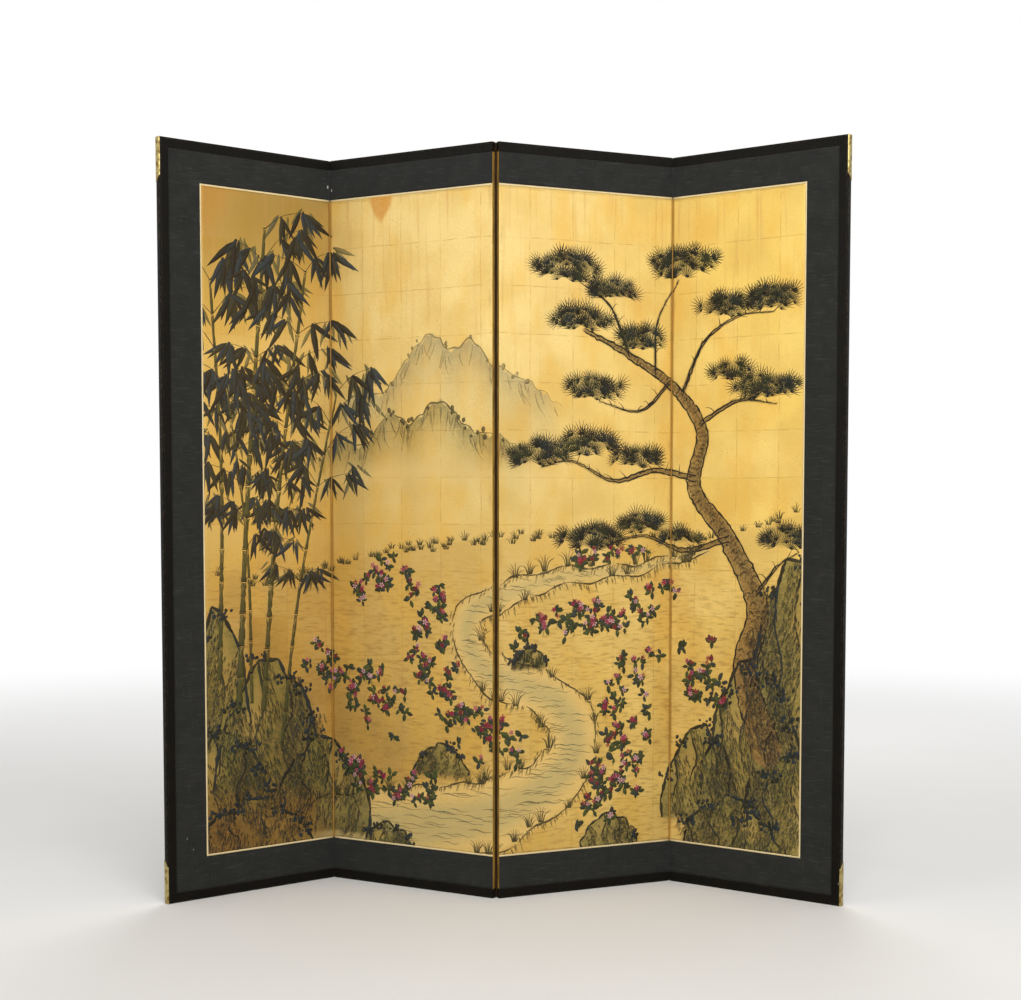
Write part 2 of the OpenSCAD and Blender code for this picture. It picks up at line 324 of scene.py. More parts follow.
def set_floats(mesh: Mesh, **floats: Sequence[float]) -> Mesh:
    """Gives a mesh's vertices float attributes.

    Args:
        mesh: The mesh.
        **floats: The values of each attribute.

    Returns:
        The same mesh.
    """
    for key, values in floats.items():
        mesh.attributes.new(key, "FLOAT", "POINT").data.foreach_set("value", np.asarray(values, np.float32))
    return mesh


def set_colours(mesh: Mesh, name: str, colours: Sequence | np.ndarray) -> None:
    """Gives a mesh's vertices a colour attribute."""
    mesh.attributes.new(name, "FLOAT_COLOR", "POINT").data.foreach_set(
        "color", np.asarray(colours, np.float32).ravel())


def link(name: str, data: bpy.types.ID) -> Object:
    """Makes an object and puts it in the scene.

    Args:
        name: Its name.
        data: What it shows.

    Returns:
        The new object.
    """
    made = bpy.data.objects.new(name, data)
    bpy.context.scene.collection.objects.link(made)
    return made


def set_piece(name: str, mesh: Mesh, leaf: Leaf, slot: Slot, nodes: Sequence[str] = ()) -> Object:
    """Makes a finished mesh into a piece of the screen.

    Args:
        name: The piece's name.
        mesh: Its mesh.
        leaf: The leaf that it moves with.
        slot: Its material slot; not used.
        nodes: The nodes that it stands for.

    Returns:
        The new object.
    """
    mesh.name = name
    piece = link(name, mesh)
    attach(piece, leaf.body)
    if nodes:
        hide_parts(*nodes)
    LOG.info("%s: %d faces on %s", name, len(mesh.polygons), leaf.body)
    return piece


def shade_smooth(mesh: Mesh, angle: float) -> None:
    """Shades a mesh smooth, apart from edges sharper than an angle in degrees."""
    mesh.shade_smooth()
    mesh.set_sharp_from_angle(angle=math.radians(angle))


class ShapeTree:
    """A Geometry Nodes tree with named inputs, which runs once on a base mesh and leaves a plain mesh.

    Each tree reads a stock, such as a section or a stamp, as an object that is only there while it runs.
    """

    def __init__(self, name: str, **inputs: str) -> None:
        """Starts a tree with a stock and more inputs, given with their socket types.

        Args:
            name: The tree's name.
            **inputs: The socket type of each further input.
        """
        self.tree = bpy.data.node_groups.new(name, "GeometryNodeTree")
        sockets = self.tree.interface
        sockets.new_socket("Geometry", in_out="INPUT", socket_type="NodeSocketGeometry")
        named = {"Stock": "NodeSocketObject", **inputs, "Material": "NodeSocketMaterial"}
        self.keys = {key: sockets.new_socket(key, in_out="INPUT", socket_type=kind).identifier
                     for key, kind in named.items()}
        sockets.new_socket("Geometry", in_out="OUTPUT", socket_type="NodeSocketGeometry")
        self.inputs = add(self.tree, "NodeGroupInput").outputs
        self.base = self.inputs["Geometry"]
        self.stock = self.add("ObjectInfo", {"Object": self.inputs["Stock"]}).outputs["Geometry"]

    def add(self, kind: str, *inputs: object, **settings: object) -> Node:
        """Adds one geometry node, as the function add does."""
        return add(self.tree, "GeometryNode" + kind, *inputs, **settings)

    def sweep(self, **inputs: object) -> Node:
        """Adds the nodes that sweep the stock, as a section, along every line of the base mesh.

        Args:
            **inputs: More inputs of the node that sweeps.

        Returns:
            That node.
        """
        level = self.add("SetCurveNormal", {"Curve": self.add("MeshToCurve", self.base)}, mode="Z_UP")
        section = self.add("MeshToCurve", self.stock)
        return self.add("CurveToMesh", {"Curve": level, "Profile Curve": section, **inputs})

    def end(self, geometry: Node) -> None:
        """Ends the tree in real faces with the material set.

        Args:
            geometry: The node that gives its shape.
        """
        dressed = self.add("SetMaterial", {
            "Geometry": self.add("RealizeInstances", geometry), "Material": self.inputs["Material"]})
        add(self.tree, "NodeGroupOutput", dressed)

    def run(self, base: Mesh, stock: Mesh, **values: object) -> Mesh:
        """Runs the tree, and removes the meshes that went in.

        Args:
            base: The mesh that it starts from.
            stock: The mesh of its stock.
            **values: A value for each other input.

        Returns:
            The new plain mesh.
        """
        holder = link("holder", base)
        modifier = holder.modifiers.new("shape", "NODES")
        modifier.node_group = self.tree
        values["Stock"] = held = bpy.data.objects.new("stock", stock)
        for key, value in values.items():
            modifier[self.keys[key]] = value
        shown = holder.evaluated_get(bpy.context.evaluated_depsgraph_get())
        mesh = bpy.data.meshes.new_from_object(shown)
        holder.modifiers.remove(modifier)
        for used in (holder, held):
            data = used.data
            bpy.data.objects.remove(used)
            bpy.data.meshes.remove(data)
        return mesh


def line_mesh(points: np.ndarray, closed: bool = False, **floats: Sequence[float]) -> Mesh:
    """Makes a mesh of one line.

    Args:
        points: The points that it runs through.
        closed: Whether its end joins its start.
        **floats: Attributes of the points.

    Returns:
        The new mesh.
    """
    count = len(points)
    pairs = [(i, (i + 1) % count) for i in range(count if closed else count - 1)]
    return set_floats(plain_mesh("line", points, pairs), **floats)


def rounded(outline: Sequence[Triple], steps: int = 4) -> tuple[np.ndarray, np.ndarray]:
    """Rounds the corners of a closed outline with arcs.

    Args:
        outline: Across, depth and corner radius of each corner.
        steps: Segments in one arc.

    Returns:
        The rounded outline's points, and for each how near it is to the middle of an arc, from 0 to 1.
    """
    points: list[np.ndarray] = []
    middles: list[float] = []
    corners = np.array([c[:2] for c in outline])
    for i, (x, y, radius) in enumerate(outline):
        here = np.array([x, y])
        if radius <= 0:
            points.append(here)
            middles.append(0.0)
            continue
        before, after = corners[i - 1] - here, corners[(i + 1) % len(corners)] - here
        before /= np.linalg.norm(before)
        after /= np.linalg.norm(after)
        half = math.acos(float(np.clip(before @ after, -1, 1))) / 2
        reach = radius / math.tan(half)
        bisector = (before + after) / np.linalg.norm(before + after)
        centre = here + bisector * radius / math.sin(half)
        start, finish = here + before * reach - centre, here + after * reach - centre
        sweep = math.atan2(start[0] * finish[1] - start[1] * finish[0], float(start @ finish))
        for k in range(steps + 1):
            c, s = math.cos(sweep * k / steps), math.sin(sweep * k / steps)
            points.append(centre + np.array([start[0] * c - start[1] * s, start[0] * s + start[1] * c]))
            middles.append(math.sin(math.pi * k / steps))
    return np.array(points), np.array(middles)


@dataclass(frozen=True)
class Scuff:
    """A small place where a surface is worn through: the leaf's number, its place on it, size and colour."""

    leaf: int
    u: float
    z: float
    size: float
    colour: str


@dataclass(frozen=True)
class Surface:
    """The nodes of one material, and the shaded point that its patterns are drawn at."""

    tree: NodeTree
    own: NodeSocket | None = None
    leaf: int = 0

    def add(self, kind: str, *inputs: object, **settings: object) -> Node:
        """Adds one shader node, as the function add does."""
        return add(self.tree, "ShaderNode" + kind, *inputs, **settings)

    def set(self, **inputs: object) -> None:
        """Sets or links inputs of the shader, named with _ for a space."""
        fill(self.tree.nodes["Principled BSDF"], {key.replace("_", " "): inputs[key] for key in inputs})

    def pattern(self, size: float, detail: float = 3.0, stretch: Triple = (1, 1, 1)) -> Node:
        """Draws clouds, specks or streaks, from 0 to 1.

        Their fourth coordinate is the leaf's number, so that no two leaves have the same clouds and wear.

        Args:
            size: Their real size in metres.
            detail: How many finer levels they have.
            stretch: How far they are drawn out along each axis.

        Returns:
            The pattern.
        """
        sized = self.add("Mapping", {"Vector": self.own, "Scale": tuple(1 / (size * k) for k in stretch)})
        return self.add("TexNoise:4D", {
            "Vector": sized, "Scale": 1.0, "Detail": detail, "W": 7.3 * self.leaf})

    def relief(self, height: object, depth: float) -> None:
        """Raises the surface by a height between 0 and 1, times a depth in metres."""
        self.set(Normal=self.add("Bump", {"Height": height, "Distance": depth, "Strength": 1.0}))

    def worn(self, colour: Node, scuffs: Sequence[Scuff]) -> Node:
        """Wears a colour through at the leaf's own scuffs, with ragged edges.

        Args:
            colour: The colour.
            scuffs: The scuffs of all leaves.

        Returns:
            The worn colour.
        """
        for scuff in scuffs:
            if scuff.leaf != self.leaf:
                continue
            way = self.add("VectorMath:SUBTRACT", self.own, (scuff.u, 0, scuff.z))
            flat = self.add("VectorMath:MULTIPLY", way, (1, 0, 0.55))
            off = self.add("VectorMath:LENGTH", flat).outputs["Value"]
            rag = self.add("Math:MULTIPLY", self.pattern(2.5 * MM, 2), scuff.size)
            share = self.add("MapRange:SMOOTHSTEP", self.add("Math:ADD", off, rag), scuff.size * 0.9,
                             scuff.size * 1.15, 1.0, 0.0)
            colour = self.add("MixRGB", share, colour, scuff.colour)
        return colour


@dataclass(frozen=True)
class Finish:
    """A surface finish, made into one material for each leaf, so that its pattern is square to the leaf."""

    name: str

    def material(self, leaf: Leaf) -> Material:
        """Gives the finish's material for a leaf, made at its first use.

        Args:
            leaf: The leaf.

        Returns:
            The material.
        """
        key = f"{self.name}_{leaf.number}"
        if key in bpy.data.materials:
            return bpy.data.materials[key]
        made = bpy.data.materials.new(key)
        made.use_nodes = True
        place = add(made.node_tree, "ShaderNodeTexCoord").outputs["Object"]
        c, s = math.cos(-leaf.turn), math.sin(-leaf.turn)
        x, y = leaf.origin
        own = add(made.node_tree, "ShaderNodeMapping", {
            "Vector": place, "Rotation": (0, 0, -leaf.turn), "Location": (-c * x + s * y, -s * x - c * y, 0)})
        self.dress(Surface(made.node_tree, own.outputs[0], leaf.number))
        return made

    def dress(self, at: Surface) -> None:
        """Adds the finish's nodes to a material whose shaded point is in the leaf's own place (u, v, z)."""
        raise NotImplementedError


@dataclass(frozen=True)
class BlackLacquer(Finish):
    """Brushed black lacquer on wood. It is a satin, warm black that a rubbed arris turns brown."""

    name: str = "brushed_black_lacquer"
    scuffs: tuple[Scuff, ...] = ()

    def dress(self, at: Surface) -> None:
        """Adds brush marks along the bars, and wear on the arrises.

        Args:
            at: The surface.
        """
        marks = at.pattern(3 * MM, 2, (1, 1, 12))
        worn = at.add("MapRange:SMOOTHSTEP", at.pattern(7 * MM, 4), 0.47, 0.62, 0.0, 0.75)
        rubbed = at.add("Math:MULTIPLY", at.add("Attribute:arris").outputs["Fac"], worn)
        black = at.add("MixRGB", at.pattern(60 * MM), "#0e0c09", "#181510")
        coat = at.add("MixRGB", rubbed, black, "#5d4a35")
        # A dielectric's specular level of 0.5 would make so thin and dull an old coat look grey
        at.set(Specular_IOR_Level=0.06, Roughness=at.add("MapRange:SMOOTHSTEP", marks, 0.3, 0.7, 0.34, 0.5),
               Base_Color=at.worn(coat, self.scuffs))
        at.relief(marks, 0.05 * MM)


@dataclass(frozen=True)
class BorderCloth(Finish):
    """Plain-woven blue-black cloth, pasted flat on paper. It is matt, with slubs and a faint faded mottle."""

    name: str = "woven_border_cloth"
    # Real threads are 0.4 mm apart, too fine to show from the view, so they are drawn coarser
    thread: float = 1.3 * MM
    scuffs: tuple[Scuff, ...] = ()

    def dress(self, at: Surface) -> None:
        """Adds the weave, slubs both ways, a mottle, flecks and scuffs.

        Args:
            at: The surface.
        """
        sized = at.add("Mapping", {"Vector": at.own, "Scale": (1 / self.thread,) * 3})
        threads = [at.add("TexWave", {"Vector": sized, "Scale": 0.314, "Distortion": 1.2, "Detail": 1.0,
                                      "Detail Scale": 0.2}, bands_direction=way) for way in "ZX"]
        weave = at.add("Math:MULTIPLY", at.add("Math:ADD", *threads), 0.5)
        slub = at.add("MapRange:SMOOTHSTEP", at.pattern(2.2 * MM, 1, (14, 1, 1)), 0.56, 0.74)
        upright = at.add("MapRange:SMOOTHSTEP", at.pattern(2.6 * MM, 1, (1, 1, 11)), 0.6, 0.78)
        cloth = at.add("MixRGB", at.pattern(38 * MM, 4), "#222321", "#353532")
        flecks = at.add("MapRange:SMOOTHSTEP", at.pattern(2.4 * MM, 2), 0.6, 0.8)
        for where, strength, colour in ((weave, 0.34, "#121414"), (slub, 0.16, "#5b605c"),
                                        (upright, 0.12, "#555a56"), (flecks, 0.22, "#4d5250")):
            cloth = at.add("MixRGB", at.add("Math:MULTIPLY", where, strength), cloth, colour)
        at.set(Base_Color=at.worn(cloth, self.scuffs), Specular_IOR_Level=0.1, Roughness=0.9,
               Sheen_Weight=0.08, Sheen_Roughness=0.5)
        at.relief(at.add("Math:ADD", weave, at.add("Math:MULTIPLY", slub, 0.7)), 0.16 * MM)


@dataclass(frozen=True)
class AgedBrass(Finish):
    """Thin sheet brass, bent and filed by hand. It is a pale dull yellow, browned where no hand rubs it."""

    name: str = "aged_sheet_brass"

    def dress(self, at: Surface) -> None:
        """Adds tarnish and file marks.

        Args:
            at: The surface.
        """
        tarnish = at.add("MapRange:SMOOTHSTEP", at.pattern(9 * MM, 5), 0.42, 0.66)
        at.set(Metallic=1.0, Base_Color=at.add("MixRGB", tarnish, "#b3a46a", "#7e6437"),
               Roughness=at.add("MapRange:SMOOTHSTEP", tarnish, 0, 1, 0.46, 0.6))
        at.relief(at.pattern(0.9 * MM, 2, (1, 1, 9)), 0.03 * MM)


@dataclass(frozen=True)
class Paper(Finish):
    """Hand-made paper: matt, with long fibres and clouds where the pulp is thicker."""

    name: str
    light: str
    dark: str
    fibre: str
    # Fibres of such paper are 10 to 15 mm long
    fibre_l: float = 12 * MM
    fibre_w: float = 0.6 * MM

    def dress(self, at: Surface) -> None:
        """Adds clouds, fibres both ways and a slight tooth.

        Args:
            at: The surface.
        """
        long = self.fibre_l / self.fibre_w
        ways = ((long, 1, 1), (1, 1, long))
        fibres = at.add("Math:MAXIMUM", *(at.pattern(self.fibre_w, 2, way) for way in ways))
        sheet = at.add("MixRGB", at.pattern(45 * MM, 4), self.dark, self.light)
        shown = at.add("MapRange:SMOOTHSTEP", fibres, 0.58, 0.78, 0.0, 0.5)
        sheet = at.add("MixRGB", shown, sheet, self.fibre)
        at.set(Base_Color=self.faced(at, sheet), Specular_IOR_Level=0.2, Roughness=0.8)
        at.relief(fibres, 0.08 * MM)

    def faced(self, at: Surface, sheet: NodeSocket) -> NodeSocket:
        """Leaves the sheet plain.

        Args:
            at: The surface.
            sheet: The sheet's colour.

        Returns:
            The face's colour.
        """
        return sheet


@dataclass(frozen=True)
class FacedHingePaper(Paper):
    """Hinge paper faced as the leaves beside it are: browned gold at the painting, dark at the cloth."""

    name: str = "faced_hinge_paper"
    light: str = "#bb8e40"
    dark: str = "#94692a"
    fibre: str = "#c79d55"
    gold_z: tuple[float, float] = (0.0, 0.0)

    def faced(self, at: Surface, sheet: NodeSocket) -> NodeSocket:
        """Adds the dark ends.

        Args:
            at: The surface.
            sheet: The sheet's colour.

        Returns:
            The face's colour.
        """
        z, (low, high) = at.add("SeparateXYZ", at.own).outputs["Z"], self.gold_z
        ends = at.add("Math:MAXIMUM", at.add("Math:LESS_THAN", z, low), at.add("Math:GREATER_THAN", z, high))
        return at.add("MixRGB", ends, sheet, "#242624")


@dataclass(frozen=True)
class BackPaper(Paper):
    """Dark back paper, pasted on in sheets that lap by a few millimetres, so that each seam shows."""

    name: str = "dyed_back_paper"
    light: str = "#3a4045"
    dark: str = "#24282c"
    fibre: str = "#4f565c"
    sheet_h: float = 0.405
    lap: float = 5 * MM

    def faced(self, at: Surface, sheet: NodeSocket) -> NodeSocket:
        """Adds the sheets' laps and some rubbed patches.

        Args:
            at: The surface.
            sheet: The sheet's colour.

        Returns:
            The face's colour.
        """
        z = at.add("SeparateXYZ", at.own).outputs["Z"]
        over = at.add("Math:MODULO", at.add("Math:ADD", z, 43 * MM * (at.leaf % 3)), self.sheet_h)
        lap = at.add("Math:MULTIPLY", at.add("Math:LESS_THAN", over, self.lap), 0.45)
        rub = at.add("MapRange:SMOOTHSTEP", at.pattern(90 * MM, 5), 0.56, 0.75, 0.0, 0.4)
        return at.add("MixRGB", lap, at.add("MixRGB", rub, sheet, "#565550"), "#14171a")


@dataclass(frozen=True)
class CutWood(Finish):
    """Planed softwood or split bamboo: pale, dry, with grain that runs up the leaf."""

    name: str
    early: str
    late: str
    ring: float = 4 * MM

    def dress(self, at: Surface) -> None:
        """Adds growth rings drawn out along the grain, and pores.

        Args:
            at: The surface.
        """
        pores = at.pattern(0.5 * MM, 1, (1, 1, 25))
        rings = at.add("MapRange:SMOOTHSTEP", at.pattern(self.ring, 3, (1, 1, 40)), 0.35, 0.65)
        grain = at.add("MixRGB", rings, self.early, self.late)
        open_pores = at.add("MapRange:SMOOTHSTEP", pores, 0.55, 0.75, 0.0, 0.35)
        at.set(Base_Color=at.add("MixRGB", open_pores, grain, "#6d5433"), Roughness=0.7)
        at.relief(pores, 0.06 * MM)


@dataclass(frozen=True)
class GoldEdgePaper(Finish):
    """Gold-faced paper over the folding edges: dull yellow at the front, with painted shade in dark brown
    behind.
    """

    name: str = "gold_faced_edge_paper"
    gold_w: float = 12 * MM

    def dress(self, at: Surface) -> None:
        """Adds the gold, the painted shade in dark brown behind it, and rub.

        Args:
            at: The surface.
        """
        ragged = at.add("Math:MULTIPLY", at.pattern(5 * MM, 2), 2 * MM)
        depth = at.add("Math:ADD", at.add("SeparateXYZ", at.own).outputs["Y"], ragged)
        rub = at.add("MapRange:SMOOTHSTEP", at.pattern(8 * MM, 4, (1, 1, 5)), 0.42, 0.66)
        # Painted shade: the edge turns dark brown further back, as shade inside the fold's notch
        darkened = at.add("MapRange:SMOOTHSTEP", depth, 0.85 * self.gold_w, 1.3 * self.gold_w)
        gold = at.add("MixRGB", rub, "#a8853c", "#7d5f28")
        at.set(Metallic=0.2, Specular_IOR_Level=0.2, Base_Color=at.add("MixRGB", darkened, gold, "#38230f"),
               Roughness=at.add("MapRange:SMOOTHSTEP", rub, 0, 1, 0.5, 0.72))
        at.relief(at.pattern(1.2 * MM, 2), 0.06 * MM)


@dataclass(frozen=True)
class GoldLeafPainting(Finish):
    """Squares of gold leaf on paper, painted in ink and mineral colours.

    The leaf gives a soft broken shine that ink and colour take away. Laps between the squares, rubbed specks
    and streaks let the brown ground show. The painted colour comes from the attributes wash and ink.
    """

    name: str = "gold_leaf_painting"
    # Gold leaf is beaten into squares of 109 mm
    square: float = 109 * MM
    lap: float = 1.6 * MM
    # What a place (u, z) on the leaf adds to become one in the picture
    shift: Place = (0.0, 0.0)
    picture_h: float = 1.531
    # The leaf whose gold is painted darker towards its top, as shade
    painted_shade_leaf: int = 1

    def dress(self, at: Surface) -> None:
        """Adds the gold, the wash over it and the ink over both.

        Args:
            at: The surface.
        """
        place = at.add("Mapping", {"Vector": at.own, "Location": (self.shift[0], 0, self.shift[1])})
        flat = at.add("Mapping", {"Vector": place, "Rotation": (-math.pi / 2, 0, 0)}).outputs[0]
        at = replace(at, own=flat)
        gold, rubbed, crease = self.gold(at)
        wash = at.add("Attribute:wash").outputs
        thin = at.add("MapRange:SMOOTHSTEP", at.pattern(5 * MM, 4), 0.25, 0.7, 0.66, 1.0)
        washed = at.add("Math:MULTIPLY", wash["Alpha"], thin)
        ink, cover = self.ink(at)
        shine = at.add("Math:MAXIMUM", at.add("Math:MAXIMUM", cover, washed), rubbed)
        under = at.add("MixRGB", washed, gold, wash["Color"])
        at.set(Base_Color=at.add("MixRGB", cover, under, ink), Specular_IOR_Level=0.3,
               Metallic=at.add("MapRange:SMOOTHSTEP", shine, 0, 1, 0.42, 0.0),
               Roughness=at.add("MapRange:SMOOTHSTEP", shine, 0, 1, 0.46, 0.78))
        at.relief(crease, 0.12 * MM)

    def gold(self, at: Surface) -> tuple[NodeSocket, NodeSocket, NodeSocket]:
        """Adds the gold ground.

        Args:
            at: The surface, with its shaded point in the picture's own place (s, t).

        Returns:
            The gold's colour, how far it is rubbed and its creases.
        """
        wander = at.add("TexNoise", {"Vector": at.own, "Scale": 9.0, "Detail": 2.0}).outputs["Color"]
        middle = at.add("VectorMath:SUBTRACT", wander, (0.5, 0.5, 0.5))
        small = at.add("VectorMath:SCALE", {0: middle, "Scale": 7 * MM})
        squares = at.add("TexBrick", {
            "Vector": at.add("VectorMath:ADD", at.own, small), "Scale": 1.0, "Brick Width": self.square,
            "Row Height": self.square, "Mortar Size": self.lap, "Mortar Smooth": 0.6, "Bias": 0.0,
            "Color1": (0, 0, 0, 1), "Color2": (1, 1, 1, 1), "Mortar": (0.5, 0.5, 0.5, 1)},
            offset=0.0, squash=1.0)
        tone, lap = squares.outputs["Color"], squares.outputs["Fac"]
        s, t, _ = at.add("SeparateXYZ", at.own).outputs
        drift = at.add("Math:SUBTRACT", at.pattern(0.3, 2), 0.5)
        height = at.add("Math:ADD", t, at.add("Math:MULTIPLY", drift, 0.9))
        # Painted light: the gold is painted darker low on the left, and lighter towards the top and low on
        # the right, as the lamps would light it
        upper = at.add("MixRGB", at.add("MapRange:SMOOTHSTEP", s, 0.05, 0.6), "#dcb054", "#e2c882")
        upper = at.add("MixRGB", at.add("MapRange:SMOOTHSTEP", s, 0.8, 1.5), upper, "#e4c25e")
        lower = at.add("MixRGB", at.add("MapRange:SMOOTHSTEP", s, 0.0, 0.9), "#a87828", "#cea44c")
        lower = at.add("MixRGB", at.add("MapRange:SMOOTHSTEP", s, 0.75, 1.15), lower, "#f2cc70")
        rise = at.add("MapRange:SMOOTHSTEP", height, 0.0, self.picture_h * 0.9)
        gold = at.add("MixRGB", rise, lower, upper)
        rubbed = at.add("Math:MULTIPLY", at.add("MapRange:SMOOTHSTEP", at.pattern(2.6 * MM, 3), 0.6, 0.72),
                        at.add("MapRange:SMOOTHSTEP", at.pattern(60 * MM, 3), 0.42, 0.68))
        brushed = at.add("MapRange:SMOOTHSTEP", at.pattern(5 * MM, 4, (5, 1, 1)), 0.46, 0.72, 0.0, 0.5)
        streaks = at.add("MapRange:SMOOTHSTEP", at.pattern(9 * MM, 4, (1, 22, 1)), 0.52, 0.78, 0.0, 0.45)
        # Painted shade: the first leaf's gold is painted darker towards its top, as if that leaf were lit
        # less
        painted_top_shade = 0.62 if at.leaf == self.painted_shade_leaf else 0.0
        warm = at.pattern(70 * MM, 4, (1, 2.2, 1))
        laps = at.add("MapRange:SMOOTHSTEP", at.pattern(30 * MM), 0.38, 0.62, 0.05, 0.5)
        for share, colour in (
                (at.add("Math:MULTIPLY", tone, 0.32), "#ecd28a"),
                (at.add("MapRange:SMOOTHSTEP", at.pattern(0.11, 5), 0.35, 0.7, 0.0, 0.5), "#caa450"),
                (at.add("MapRange:SMOOTHSTEP", warm, 0.44, 0.66, 0.0, 0.5), "#ddac46"),
                (at.add("Math:MULTIPLY", brushed, at.add("MapRange:SMOOTHSTEP", t, 0.75, 0.55)), "#93692c"),
                (at.add("MapRange:SMOOTHSTEP", t, 1.08, 1.5, 0.0, painted_top_shade), "#6e5314"),
                (at.add("Math:MULTIPLY", lap, laps), "#b08238"),
                (at.add("Math:MULTIPLY", streaks, at.add("MapRange:SMOOTHSTEP", t, 0.75, 1.5)), "#c08c50"),
                (at.add("Math:MULTIPLY", rubbed, 0.7), "#9a6c30"),
                (at.add("MapRange:SMOOTHSTEP", at.pattern(1.8 * MM, 2), 0.3, 0.7, 0.0, 0.24), "#ac883e")):
            gold = at.add("MixRGB", share, gold, colour)
        crease = at.add("Math:ADD", at.pattern(7 * MM, 4), at.add("Math:MULTIPLY", lap, 0.3))
        return gold, at.add("Math:MULTIPLY", rubbed, 0.8), crease

    def ink(self, at: Surface) -> tuple[NodeSocket, NodeSocket]:
        """Adds the painted marks.

        A mark's attribute dry says how much of the gold its bristles leave bare, in streaks along the stroke.

        Args:
            at: The surface.

        Returns:
            The marks' colour and how well they cover.
        """
        along, across, dry, shade, cover = (
            at.add("Attribute:" + key).outputs["Fac"] for key in ("along", "across", "dry", "shade", "cover"))
        bristles = at.add("CombineXYZ", at.add("Math:DIVIDE", along, 24 * MM),
                          at.add("Math:DIVIDE", across, 1.1 * MM))
        streaks = at.add("TexNoise", {"Vector": bristles, "Scale": 1.0, "Detail": 2.0})
        bare = at.add("Math:SUBTRACT", streaks, at.add("Math:MULTIPLY", dry, 0.8))
        kept = at.add("MapRange:SMOOTHSTEP", at.add("Math:DIVIDE", bare, 0.1), 0.0, 1.0)
        ink = at.add("MixRGB", at.add("Math:MULTIPLY", shade, 0.55), at.add("Attribute:ink"), "#0e0c08")
        return ink, at.add("Math:MULTIPLY", cover, kept)


def set_solid(name: str, mesh: Mesh, own: np.ndarray, leaf: Leaf, spot: tuple[Edge, End], slot: Slot,
              node: str, angle: float) -> Object:
    """Sets a closed solid at an edge and an end of its leaf.

    Args:
        name: The piece's name.
        mesh: Its mesh.
        own: The places of its vertices, as they would be at the left edge and the bottom.
        leaf: The leaf.
        spot: The edge and the end.
        slot: Its material slot.
        node: The node that it stands for.
        angle: Edges sharper than this, in degrees, stay sharp.

    Returns:
        The new piece.
    """
    leaf.put_at(mesh, own, *spot)
    shade_smooth(mesh, angle)
    return set_piece(name, mesh, leaf, slot, [node])


def tube_faces(rings: int, sides: int) -> list[tuple[int, ...]]:
    """Gives the faces along a tube whose points are listed ring by ring."""
    return [(i + k, i + (k + 1) % sides, i + sides + (k + 1) % sides, i + sides + k)
            for i in range(0, (rings - 1) * sides, sides) for k in range(sides)]


def sweep_bar(outline: np.ndarray, along: Sequence[float], slant: Sequence[float], shift: np.ndarray,
              material: Material, **floats: Sequence[float]) -> Mesh:
    """Sweeps a section along x, with y from its outer edge inwards and z from front to back.

    Args:
        outline: The section's points, across and deep.
        along: The places of the rings.
        slant: How much of the shift each ring takes.
        shift: How far each point of a slanted ring moves along x.
        material: The bar's material.
        **floats: More attributes of the points.

    Returns:
        The bar's mesh.
    """
    tree = ShapeTree("swept bar")
    slanted, shifted = (tree.add("InputNamedAttribute:FLOAT", key) for key in ("slant", "shift"))
    moved = add(tree.tree, "ShaderNodeMath:MULTIPLY", slanted, shifted)
    offset = add(tree.tree, "ShaderNodeCombineXYZ", moved)
    tree.end(tree.add("SetPosition", {"Geometry": tree.sweep(**{"Fill Caps": True}), "Offset": offset}))
    path = line_mesh(np.column_stack([along, np.zeros((len(along), 2))]), slant=slant)
    # The sweep turns a section's x to -y and its y to -z
    section = line_mesh(np.column_stack([-outline, np.zeros(len(outline))]), True, shift=shift, **floats)
    return tree.run(path, section, Material=material)


